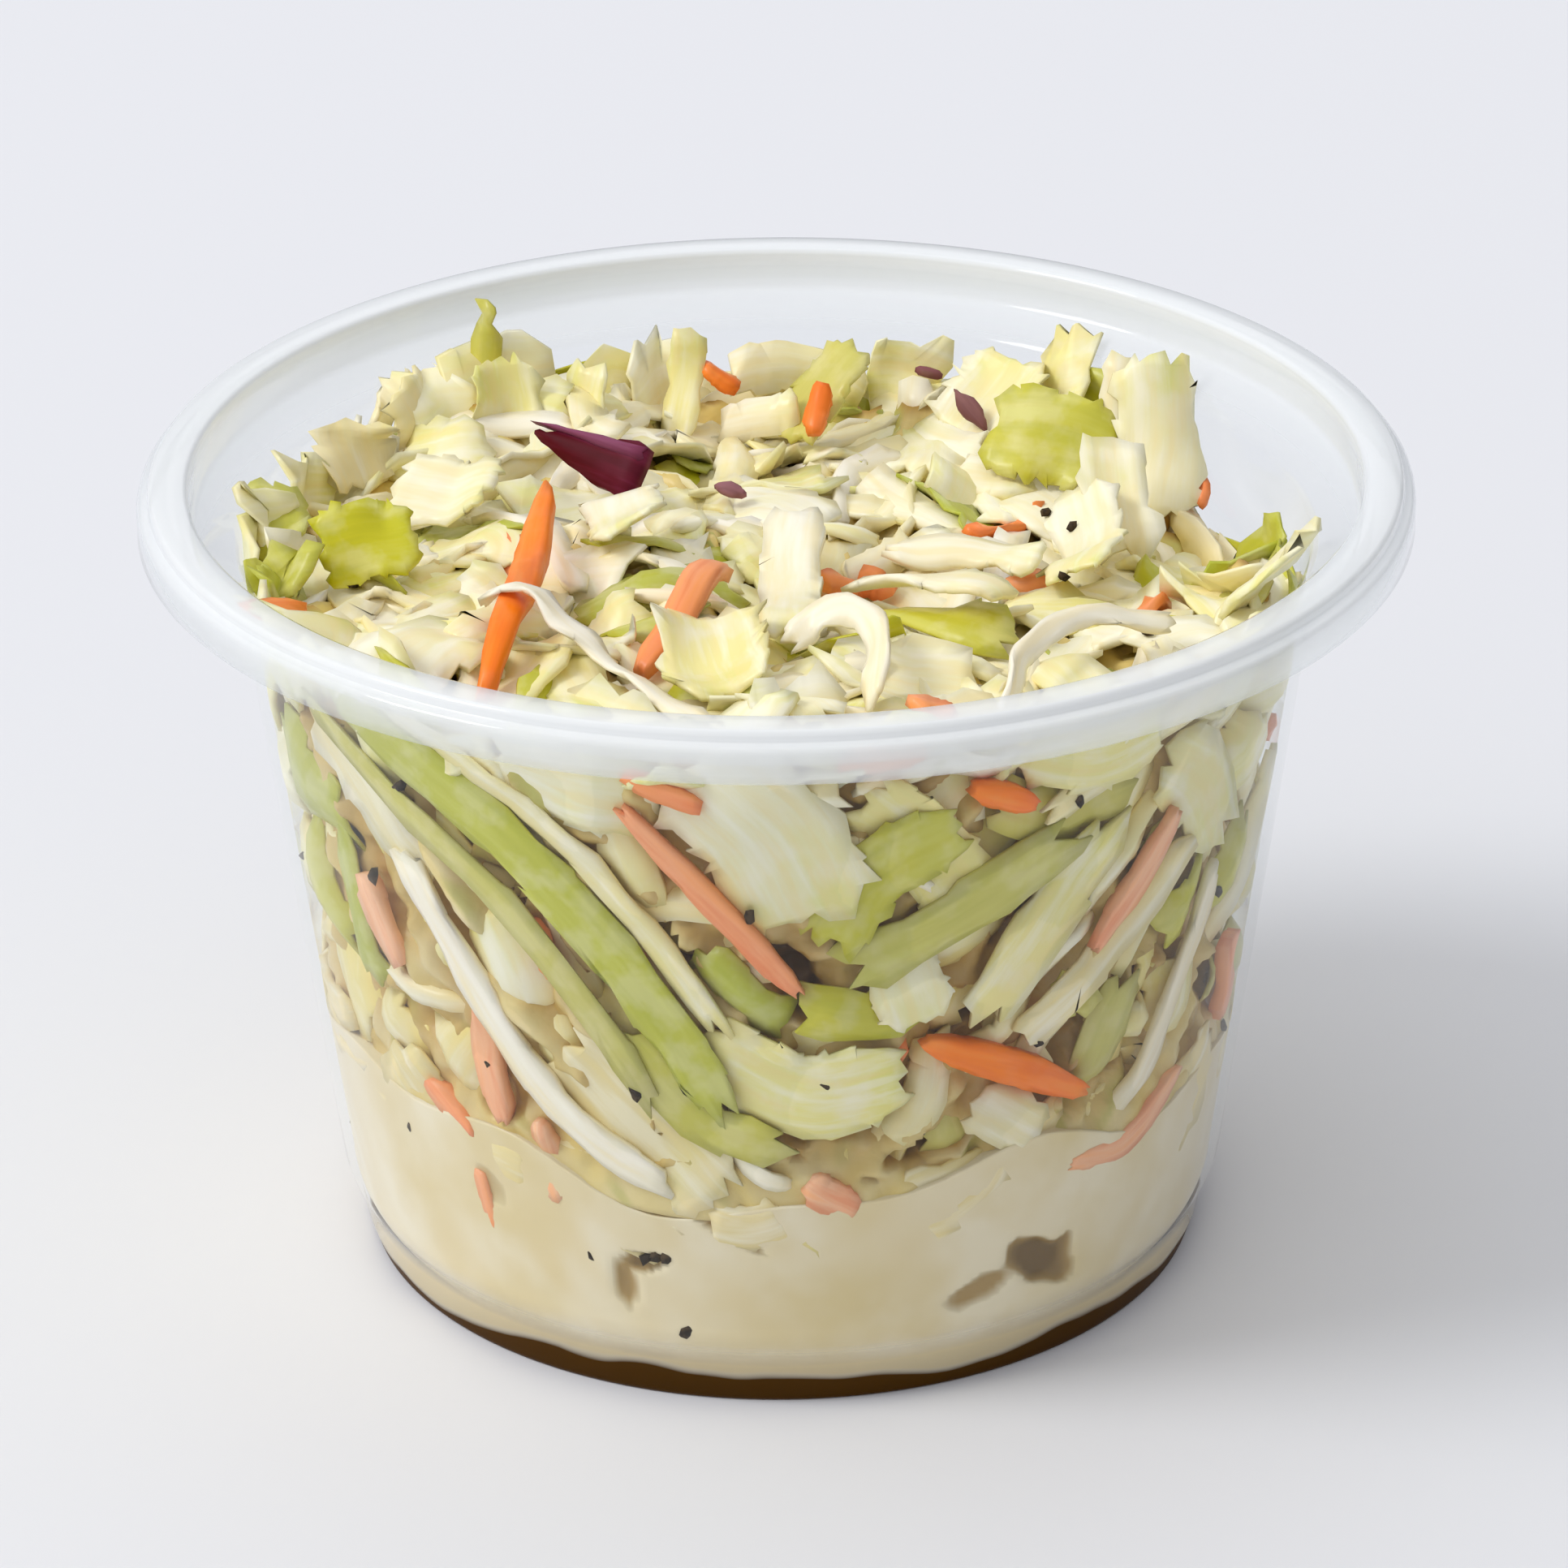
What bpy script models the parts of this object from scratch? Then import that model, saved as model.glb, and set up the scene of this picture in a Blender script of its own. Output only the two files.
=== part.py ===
# Coleslaw in its small clear portion cup.
# Three solids: the cup, the dressing that has settled at the bottom, and the heap of
# shredded cabbage and carrot above it. All stand on z = 0, with the cup's axis on Z.

import math

import bmesh
import bpy
from mathutils import noise, Vector

MM = 0.001  # every size below is in millimetres

# --- driving sizes of the cup ---
CUP_HEIGHT = 48.1
RIM_RADIUS = 37.0        # outer edge of the rim's skirt
BEAD_RADIUS = 36.35      # outer side of the raised bead that a lid snaps over
PLUG_RADIUS = 34.0       # upright inner face that a lid's plug fits into
SKIRT_BOTTOM = 45.2      # lower edge of the skirt
SHOULDER_HEIGHT = 44.1   # where the side wall turns out to the rim
SHOULDER_RADIUS = 31.7   # outer side of the wall at the shoulder
HEEL_HEIGHT = 5.3        # where the side wall ends and steps in to the foot
HEEL_RADIUS = 26.5       # outer side of the wall at the heel
FOOT_RADIUS = 24.9       # outer side of the foot ring near the ground
FOOT_WIDTH = 1.3         # the foot ring, measured across
WALL = 0.65              # thickness of the side wall, the rim and the floor
FLOOR_TOP = 1.5          # upper face of the floor inside
CORNER_INSET = 2.0       # how far the inner wall curves in to meet the floor
ROUND = 0.3              # radius of the rim's and the foot's small roundings

# --- driving sizes of the filling ---
GAP = 0.3                # clearance between two solids that rest on each other
DRESSING_LEVEL = 14.6    # mean level of the settled dressing
DRESSING_SWELL = 0.9     # how far its level wanders up and down
DRESSING_LEFT_RISE = 2.4  # the dressing stands higher against the left wall
HEAP_LEVEL = 42.2        # mean level of the heap
HEAP_LUMP = 1.1          # height of the heap's small lumps
HEAP_LUMP_SIZE = 5.5     # distance from one small lump to the next

# Mounds and hollows of the heap: place (x, y), height and reach of each.
HEAP_MOUNDS = (
    (-22, -14, 2.4, 11),  # left front, up against the wall
    (2, -24, 2.6, 12),    # front, just under the rim
    (24, -12, 1.7, 10),   # right front
    (-17, 20, 2.8, 7),    # tuft at the back left
    (-9, -1, 1.6, 9),     # crown of the middle
    (17, 24, 2.2, 4),     # leaves leaning on the back wall
    (14, 6, -1.7, 12),    # shallow dip behind the crown
    (27, 11, -4.6, 7),    # hollow at the right, where the wall shows bare
    (4, 25, -1.4, 10),    # lower rim of the heap at the back
)

TURN_STEPS = 64          # facets round the cup and its filling
HEAP_TOP_RINGS = 11
DRESSING_RINGS = 6
SIDE_ROWS = 5


def wall_radius(height):
    """Outer radius of the tapered side wall at a height."""
    rise = (height - HEEL_HEIGHT) / (SHOULDER_HEIGHT - HEEL_HEIGHT)
    return HEEL_RADIUS + (SHOULDER_RADIUS - HEEL_RADIUS) * rise


def inner_radius(height):
    """Inner radius of the cup at a height, from the floor's corner up to the shoulder."""
    height = min(height, SHOULDER_HEIGHT)
    if height >= HEEL_HEIGHT:
        return wall_radius(height) - WALL
    sink = (HEEL_HEIGHT - height) / (HEEL_HEIGHT - FLOOR_TOP)
    return wall_radius(HEEL_HEIGHT) - WALL - CORNER_INSET * sink ** 2


def arc(centre_r, centre_z, radius, start, end, steps):
    """Points of a rounding, from one angle to another in degrees."""
    points = []
    for step in range(steps + 1):
        angle = math.radians(start + (end - start) * step / steps)
        points.append((centre_r + radius * math.cos(angle), centre_z + radius * math.sin(angle)))
    return points


def cup_outline():
    """Half section of the cup as (r, z), from under the floor, round the rim, to the floor's top."""
    floor_under = FLOOR_TOP - WALL
    foot_inside = FOOT_RADIUS - FOOT_WIDTH
    bead_outside = BEAD_RADIUS - ROUND
    outline = [(0, floor_under), (foot_inside - 1.0, floor_under), (foot_inside - 0.2, ROUND)]
    outline += [(foot_inside + ROUND / 2, 0), (FOOT_RADIUS - ROUND, 0), (FOOT_RADIUS, ROUND)]
    outline += [(FOOT_RADIUS + 0.4, FLOOR_TOP), (HEEL_RADIUS - 0.9, HEEL_HEIGHT - 1.9)]
    outline += [(HEEL_RADIUS - 0.25, HEEL_HEIGHT - 0.7), (HEEL_RADIUS, HEEL_HEIGHT)]
    outline += [(wall_radius(HEEL_HEIGHT + 13), HEEL_HEIGHT + 13)]
    outline += [(wall_radius(SHOULDER_HEIGHT - 0.3), SHOULDER_HEIGHT - 0.3)]
    outline += [(PLUG_RADIUS + WALL - 0.3, SKIRT_BOTTOM - 0.1), (PLUG_RADIUS + WALL, SKIRT_BOTTOM + 0.4)]
    outline += [(PLUG_RADIUS + WALL, CUP_HEIGHT - 0.7), (BEAD_RADIUS - 0.35, CUP_HEIGHT - 1.0)]
    outline += [(BEAD_RADIUS - 0.05, CUP_HEIGHT - 1.5), (BEAD_RADIUS, SKIRT_BOTTOM)]
    outline += [(RIM_RADIUS, SKIRT_BOTTOM)]
    outline += [(RIM_RADIUS, CUP_HEIGHT - 1.2), (RIM_RADIUS - 0.2, CUP_HEIGHT - 0.85)]
    outline += [(BEAD_RADIUS, CUP_HEIGHT - 0.7)]
    outline += arc(bead_outside, CUP_HEIGHT - ROUND, ROUND, 0, 90, 2)
    outline += arc(PLUG_RADIUS + ROUND, CUP_HEIGHT - ROUND, ROUND, 90, 180, 2)
    outline += [(PLUG_RADIUS, SHOULDER_HEIGHT + 1.7), (PLUG_RADIUS - 0.4, SHOULDER_HEIGHT + 1.3)]
    outline += [(SHOULDER_RADIUS - WALL + 0.5, SHOULDER_HEIGHT + 0.4)]
    outline += [(inner_radius(SHOULDER_HEIGHT), SHOULDER_HEIGHT)]
    for height in (HEEL_HEIGHT, HEEL_HEIGHT - 1.5, HEEL_HEIGHT - 2.8, FLOOR_TOP):
        outline.append((inner_radius(height), height))
    outline.append((0, FLOOR_TOP))
    return outline


def dressing_top(x, y):
    """Level of the settled dressing at a place in the cup."""
    swell = noise.noise(Vector((x / 13, y / 13, 3.7)))
    left = max(0.0, -x / inner_radius(DRESSING_LEVEL))
    return DRESSING_LEVEL + DRESSING_SWELL * 2 * swell + DRESSING_LEFT_RISE * left ** 2


def heap_bottom(x, y):
    return dressing_top(x, y) + GAP


def heap_top(x, y):
    """Level of the heap's uneven outline at a place in the cup."""
    level = HEAP_LEVEL
    for mound_x, mound_y, height, reach in HEAP_MOUNDS:
        distance = math.hypot(x - mound_x, y - mound_y)
        level += height * math.exp(-(distance / reach) ** 2)
    lump = noise.noise(Vector((x / HEAP_LUMP_SIZE, y / HEAP_LUMP_SIZE, 0.4)))
    return level + HEAP_LUMP * 2 * lump


def flat_floor(x, y):
    return FLOOR_TOP + GAP


def edge_radius(angle, level):
    """Radius at which a surface meets the cup's wall, less the gap."""
    radius = inner_radius(level(0, 0)) - GAP
    for attempt in range(8):
        height = level(radius * math.cos(angle), radius * math.sin(angle))
        radius = inner_radius(height) - GAP
    return radius


def add_object(name, mesh_data, colour, roughness, alpha=1.0):
    """Turn a finished bmesh into an object with its own material."""
    bmesh.ops.triangulate(mesh_data, faces=mesh_data.faces[:])
    bmesh.ops.recalc_face_normals(mesh_data, faces=mesh_data.faces[:])
    bmesh.ops.scale(mesh_data, vec=(MM, MM, MM), verts=mesh_data.verts[:])
    mesh = bpy.data.meshes.new(name)
    mesh_data.to_mesh(mesh)
    mesh_data.free()
    mesh.shade_smooth()
    mesh.set_sharp_from_angle(angle=math.radians(35))
    material = bpy.data.materials.new(name)
    material.use_nodes = True
    shader = material.node_tree.nodes["Principled BSDF"]
    shader.inputs["Base Color"].default_value = (*colour, 1)
    shader.inputs["Roughness"].default_value = roughness
    shader.inputs["Metallic"].default_value = 0.0
    shader.inputs["Alpha"].default_value = alpha
    mesh.materials.append(material)
    part = bpy.data.objects.new(name, mesh)
    bpy.context.scene.collection.objects.link(part)
    return part


def bridge(mesh_data, lower, upper):
    """Join two rings of vertices; a ring of one vertex is a pole on the axis."""
    if len(lower) == 1 and len(upper) == 1:
        return
    for step in range(TURN_STEPS):
        following = (step + 1) % TURN_STEPS
        if len(lower) == 1:
            corners = (lower[0], upper[step], upper[following])
        elif len(upper) == 1:
            corners = (lower[step], upper[0], lower[following])
        else:
            corners = (lower[step], upper[step], upper[following], lower[following])
        mesh_data.faces.new(corners)


def ring(mesh_data, radius, height):
    """One ring of a turned shape, or a single vertex on the axis."""
    if radius == 0:
        return [mesh_data.verts.new((0, 0, height))]
    verts = []
    for step in range(TURN_STEPS):
        angle = math.tau * step / TURN_STEPS
        verts.append(mesh_data.verts.new((radius * math.cos(angle), radius * math.sin(angle), height)))
    return verts


def make_cup():
    mesh_data = bmesh.new()
    rings = [ring(mesh_data, radius, height) for radius, height in cup_outline()]
    for lower, upper in zip(rings, rings[1:]):
        bridge(mesh_data, lower, upper)
    return add_object("cup", mesh_data, (0.86, 0.88, 0.89), 0.12, alpha=0.35)


def surface_rings(mesh_data, level, ring_count):
    """A round uneven surface out to the wall, as rings from the centre outwards."""
    rings = [[mesh_data.verts.new((0, 0, level(0, 0)))]]
    for count in range(1, ring_count + 1):
        verts = []
        for step in range(TURN_STEPS):
            angle = math.tau * step / TURN_STEPS
            radius = edge_radius(angle, level) * count / ring_count
            x = radius * math.cos(angle)
            y = radius * math.sin(angle)
            verts.append(mesh_data.verts.new((x, y, level(x, y))))
        rings.append(verts)
    return rings


def side_rings(mesh_data, low_edge, high_edge, row_count):
    """Rings up the side between two edges, following the inside of the cup."""
    rings = []
    for row in range(1, row_count):
        verts = []
        for low, high in zip(low_edge, high_edge):
            height = low.co.z + (high.co.z - low.co.z) * row / row_count
            angle = math.atan2(low.co.y, low.co.x)
            radius = inner_radius(height) - GAP
            verts.append(mesh_data.verts.new((radius * math.cos(angle), radius * math.sin(angle), height)))
        rings.append(verts)
    return rings


def make_filling(name, bottom, top, bottom_rings, top_rings, side_rows, colour, roughness):
    """A solid that fills the cup from one surface up to another."""
    mesh_data = bmesh.new()
    under = surface_rings(mesh_data, bottom, bottom_rings)
    over = surface_rings(mesh_data, top, top_rings)
    side = side_rings(mesh_data, under[-1], over[-1], side_rows)
    rings = under + side + over[::-1]
    for lower, upper in zip(rings, rings[1:]):
        bridge(mesh_data, lower, upper)
    return add_object(name, mesh_data, colour, roughness)


for old in list(bpy.data.objects):
    bpy.data.objects.remove(old, do_unlink=True)

make_cup()
make_filling("dressing", flat_floor, dressing_top, 1, DRESSING_RINGS, SIDE_ROWS,
             (0.80, 0.74, 0.58), 0.35)
make_filling("slaw", heap_bottom, heap_top, DRESSING_RINGS, HEAP_TOP_RINGS, SIDE_ROWS,
             (0.80, 0.78, 0.50), 0.45)
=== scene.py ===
import math
import bpy
import bmesh
import numpy as np
from mathutils import Matrix, Vector
from mathutils.bvhtree import BVHTree


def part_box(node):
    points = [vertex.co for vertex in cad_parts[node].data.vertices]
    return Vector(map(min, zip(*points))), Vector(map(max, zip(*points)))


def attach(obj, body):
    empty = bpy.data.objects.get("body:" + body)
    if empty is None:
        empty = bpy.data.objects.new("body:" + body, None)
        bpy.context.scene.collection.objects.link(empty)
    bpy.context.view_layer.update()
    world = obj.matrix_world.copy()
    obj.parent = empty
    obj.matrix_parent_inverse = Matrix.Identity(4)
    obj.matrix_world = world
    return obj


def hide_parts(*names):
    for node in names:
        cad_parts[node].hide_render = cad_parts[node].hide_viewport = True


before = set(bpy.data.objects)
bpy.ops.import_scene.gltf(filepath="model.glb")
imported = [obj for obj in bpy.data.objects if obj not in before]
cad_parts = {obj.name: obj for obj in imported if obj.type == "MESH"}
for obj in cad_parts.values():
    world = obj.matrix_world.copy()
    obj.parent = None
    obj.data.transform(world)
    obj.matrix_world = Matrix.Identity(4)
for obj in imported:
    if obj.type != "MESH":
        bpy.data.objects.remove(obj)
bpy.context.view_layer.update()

mm = 0.001               # lengths below are in millimetres and are scaled as the meshes are made
remap, maths = "ShaderNodeMapRange", "ShaderNodeMath"
times, plus, minus = ({"operation": word} for word in ("MULTIPLY", "ADD", "SUBTRACT"))
chance = np.random.default_rng(118)
print("stage: frame loaded")


def linearColour(hexText):
    values = [int(hexText[i:i + 2], 16) / 255 for i in (1, 3, 5)]
    return [v / 12.92 if v <= 0.04045 else ((v + 0.055) / 1.055) ** 2.4 for v in values] + [1.0]


def addNode(tree, kind, inputs, out=0, **settings):
    # inputs come by name or in order: a socket is linked and a hex colour is turned to linear
    node = tree.nodes.new(kind)
    for name, value in settings.items():
        setattr(node, name, value)
    for name, value in inputs.items() if isinstance(inputs, dict) else enumerate(inputs):
        if isinstance(value, bpy.types.NodeSocket):
            tree.links.new(value, node.inputs[name])
        else:
            node.inputs[name].default_value = linearColour(value) if isinstance(value, str) else value
    return node.outputs if out is None else node.outputs[out]


def newMaterial(name):
    material = bpy.data.materials.new(name)
    material.use_nodes = True
    material.node_tree.nodes.clear()
    return material, material.node_tree


def selectNothing():
    for thing in list(bpy.context.selected_objects):
        thing.select_set(False)


def selectOnly(thing):
    selectNothing()
    thing.select_set(True)
    bpy.context.view_layer.objects.active = thing


def selectVerts(thing, wanted):
    edit = bmesh.from_edit_mesh(thing.data)
    for vert in edit.verts:
        vert.select = bool(wanted(vert))
    edit.select_flush_mode()
    bmesh.update_edit_mesh(thing.data)


cupLow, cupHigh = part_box("cup")
cup = {
    "height": (cupHigh[2] - cupLow[2]) / mm,
    "rim": (cupHigh[0] - cupLow[0]) / 2 / mm,
    "bead": 36.35,           # outer side of the bead a lid snaps over
    "plug": 34.0,            # upright inner face under the bead
    "skirtDepth": 2.9,       # how far the skirt hangs below the top
    "shoulderZ": 44.1,
    "shoulderR": 31.7,
    "heelZ": 5.3,
    "heelR": 26.5,
    "footR": 24.9,
    "footWidth": 1.3,
    "wall": 0.65,
    "floorZ": 1.5,
    "cornerInset": 2.0,      # how far the inner wall curves in to the floor
    "round": 0.3,
    "turnSteps": 224,
    "press": 0.1,            # what lies against the wall reaches up to this far into it
}


def outerRadius(z):
    rise = (z - cup["heelZ"]) / (cup["shoulderZ"] - cup["heelZ"])
    return cup["heelR"] + (cup["shoulderR"] - cup["heelR"]) * rise


def innerLine():
    line = []
    for step in range(9):
        sink = 1 - step / 8
        z = cup["heelZ"] - (cup["heelZ"] - cup["floorZ"]) * sink
        line.append((z, outerRadius(cup["heelZ"]) - cup["wall"] - cup["cornerInset"] * sink ** 2))
    neck = cup["shoulderR"] - cup["wall"]
    line += [(cup["shoulderZ"], neck), (cup["shoulderZ"] + 0.4, neck + 0.5)]
    line += [(cup["shoulderZ"] + 1.3, cup["plug"] - 0.4), (cup["shoulderZ"] + 1.7, cup["plug"])]
    line.append((cup["height"], cup["plug"]))
    return line


innerZ, innerR = (np.array(side) for side in zip(*innerLine()))


def innerRadius(z):
    return np.interp(z, innerZ, innerR)


def makeCupShell():
    top, rim, bead, plug, wall = (cup[key] for key in ("height", "rim", "bead", "plug", "wall"))
    footR, heelR, heelZ, floorZ, soft = (cup[key] for key in ("footR", "heelR", "heelZ", "floorZ", "round"))
    shoulderR, shoulderZ = cup["shoulderR"], cup["shoulderZ"]
    foot = footR - cup["footWidth"]
    under = floorZ - wall
    lip = top - cup["skirtDepth"]
    plugOut = plug + wall
    # from the middle of the underside, over the foot, up the outside, over the rim and down the inside
    outline = [(0, under), (foot - 1.0, under), (foot - 0.45, under * 0.7), (foot - 0.2, soft), (foot, 0.08),
               (foot + 0.2, 0), (footR - 0.3, 0), (footR - 0.08, 0.09), (footR, soft), (footR + 0.4, floorZ),
               (heelR - 0.9, heelZ - 1.9), (heelR - 0.5, heelZ - 1.25), (heelR - 0.2, heelZ - 0.7),
               (heelR, heelZ)]
    for step in range(1, 8):
        z = heelZ + (shoulderZ - 0.5 - heelZ) * step / 7
        outline.append((outerRadius(z), z))
    outline += [(shoulderR + 0.35, shoulderZ + 0.1), (plugOut - 0.9, lip - 0.35),
                (plugOut - 0.25, lip - 0.05), (plugOut, lip + 0.4), (plugOut, top - 0.9),
                (plugOut + 0.15, top - 0.72),
                (bead - 0.5, top - 0.85), (bead - 0.2, top - 1.1), (bead - 0.05, top - 1.5),
                (bead, lip + 0.15), (bead + 0.15, lip), (rim - 0.12, lip), (rim, lip + 0.15),
                (rim, top - 1.25), (rim - 0.1, top - 0.95), (rim - 0.3, top - 0.8), (bead + 0.06, top - 0.7),
                (bead, top - 0.62), (bead, top - 0.35), (bead - 0.1, top - 0.12), (bead - 0.32, top),
                (plug + 0.35, top), (plug + 0.1, top - 0.1), (plug, top - 0.35)]
    outline += [(r, z) for z, r in innerLine()[-2::-1]]
    outline.append((0, floorZ))
    mesh = bpy.data.meshes.new("clearCup")
    points = [(r * mm, 0, z * mm) for r, z in outline]
    edges = [(i, i + 1) for i in range(len(points) - 1)]
    mesh.from_pydata(points, edges, [])
    shell = bpy.data.objects.new("clearCup", mesh)
    bpy.context.scene.collection.objects.link(shell)
    selectOnly(shell)
    bpy.ops.object.mode_set(mode="EDIT")
    bpy.ops.mesh.select_all(action="SELECT")
    bpy.ops.mesh.spin(steps=cup["turnSteps"], angle=math.tau, center=(0, 0, 0), axis=(0, 0, 1))
    bpy.ops.mesh.select_all(action="SELECT")
    bpy.ops.mesh.remove_doubles(threshold=0.000004)
    bpy.ops.mesh.normals_make_consistent(inside=False)
    bpy.ops.object.mode_set(mode="OBJECT")
    bpy.ops.object.shade_smooth_by_angle(angle=math.radians(50))
    return shell


def treeOf(node):
    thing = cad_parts[node]
    verts = [thing.matrix_world @ v.co for v in thing.data.vertices]
    return BVHTree.FromPolygons(verts, [tuple(p.vertices) for p in thing.data.polygons])


slawTree = treeOf("slaw")
dressingTree = treeOf("dressing")


def topOf(solid, x, y, fallback):
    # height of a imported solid's upper face at a place, a little further in where the wall is reached
    reach = 0.99
    for attempt in range(12):
        hit = solid.ray_cast(Vector((x * reach * mm, y * reach * mm, 0.1)), Vector((0, 0, -1)))[0]
        if hit is not None:
            return hit.z / mm
        reach *= 0.985
    return fallback


# A bed is a height map that shreds are laid on, one for the heap's top and one for the wall, where
# a runs round the cup, b up it and the height inwards.
cell = 0.4               # side of a cell of these maps
wallTurn = 29.0          # radius at which the wall is unrolled


def wallPlace(points):
    turn = -points[:, 0] / wallTurn
    radius = innerRadius(points[:, 1]) + cup["press"] - points[:, 2]
    return np.stack([radius * np.cos(turn), radius * np.sin(turn), points[:, 1]], 1)


def bedLook(bed, a, b):
    grid = bed["grid"]
    i = (a - bed["low"][0]) / cell
    j = np.clip((b - bed["low"][1]) / cell, 0, grid.shape[1] - 1.001)
    if not bed["wrap"]:
        i = np.clip(i, 0, grid.shape[0] - 1.001)
    i0 = np.floor(i).astype(int)
    j0 = np.floor(j).astype(int)
    fi, fj = i - i0, j - j0
    i0 %= grid.shape[0]
    i1 = (i0 + 1) % grid.shape[0]
    low = grid[i0, j0] * (1 - fi) + grid[i1, j0] * fi
    high = grid[i0, j0 + 1] * (1 - fi) + grid[i1, j0 + 1] * fi
    return low * (1 - fj) + high * fj


def bedRaise(bed, points):
    grid = bed["grid"]
    i = np.round((points[:, 0] - bed["low"][0]) / cell).astype(int)
    j = np.round((points[:, 1] - bed["low"][1]) / cell).astype(int)
    if bed["wrap"]:
        i %= grid.shape[0]
    inside = (i >= 0) & (i < grid.shape[0]) & (j >= 0) & (j < grid.shape[1])
    np.maximum.at(grid, (i[inside], j[inside]), points[inside, 2])


def smoothRow(row, passes):
    for turn in range(passes):
        middle = row.copy()
        middle[1:-1] = 0.5 * row[1:-1] + 0.25 * (row[:-2] + row[2:])
        row = middle
    return row


def waves(u, v, bits):
    # slow uneven swell over a piece, from a few crossed waves
    size = shred["swell"]
    return sum(share * np.sin(u * freqU / size + v * freqV / size + phase)
               for freqU, freqV, phase, share in bits)


def smoothPath(points, count):
    # a smooth curve through a few given points
    points = np.array(points, float)
    if len(points) == 2:
        points = np.array([points[0], (points[0] + points[1]) / 2, points[1]])
    ends = np.vstack([2 * points[0] - points[1], points, 2 * points[-1] - points[-2]])
    spots = np.linspace(0, len(points) - 1.0001, count)
    out = []
    for spot in spots:
        k = int(spot)
        t = spot - k
        p0, p1, p2, p3 = ends[k:k + 4]
        out.append(0.5 * (2 * p1 + (p2 - p0) * t + (2 * p0 - 5 * p1 + 4 * p2 - p3) * t ** 2
                          + (3 * p1 - p0 - 3 * p2 + p3) * t ** 3))
    return np.array(out)


kinds = {}


def addCopy(kind, shape, points, shade, veins):
    store = kinds.setdefault(kind, {"verts": [], "faces": [], "shade": [], "veins": [], "total": 0})
    store["verts"].append(points)
    store["veins"].append(veins)
    store["faces"].append([tuple(i + store["total"] for i in face) for face in shape["faces"]])
    store["shade"].append(shade)
    store["total"] += len(points)


shred = {
    "swell": 2.2,            # size of the slow swells over it
    "step": 0.3,             # spacing of the points that raise its bed
    "overTop": 2.5,          # none stands further over the cup
    "overFloor": 0.1,        # nor lies lower over its floor
    "steepest": 0.8,         # most sideways slope it takes from what it lies on
    "veinRange": 60,         # its veins start anywhere in so much of the pattern
    "tries": 8,              # a strewn one is shortened up to so many times until it fits
    "shorten": 0.9,
}


def drapedHeights(bed, a, b, la, lb, lift, look):
    # how high the middle of a shred rests on a bed, and how it leans sideways
    half = look["width"] / 2
    reach = half * max(0.25, abs(math.cos(look["roll"])))
    sides = np.linspace(-1, 1, 5) * reach
    heights = bedLook(bed, a[:, None] + la[:, None] * sides, b[:, None] + lb[:, None] * sides)
    slope = np.clip((heights[:, 4] - heights[:, 0]) / (2 * reach), -shred["steepest"], shred["steepest"])
    slope = smoothRow(slope, 4)
    rest = (heights - slope[:, None] * sides).max(1)
    height = rest.copy()
    for turn in range(look["stiff"]):
        height = np.maximum(rest, smoothRow(height, 1))
    height = smoothRow(height, 2) + lift - look["sink"] + half * abs(math.sin(look["roll"])) * 0.8
    if look["over"] is not None:
        height = smoothRow(np.minimum(height, bedLook(target, a, b) + look["over"]), 2)
    return height, slope


def pressOf(bed):
    # each shred is pressed a hair less than the one before, so no two share a surface
    bed["laid"] = bed.get("laid", 0) + 1
    return max(cup["press"] - 0.0001 * bed["laid"], cup["press"] - 0.05)


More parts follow.
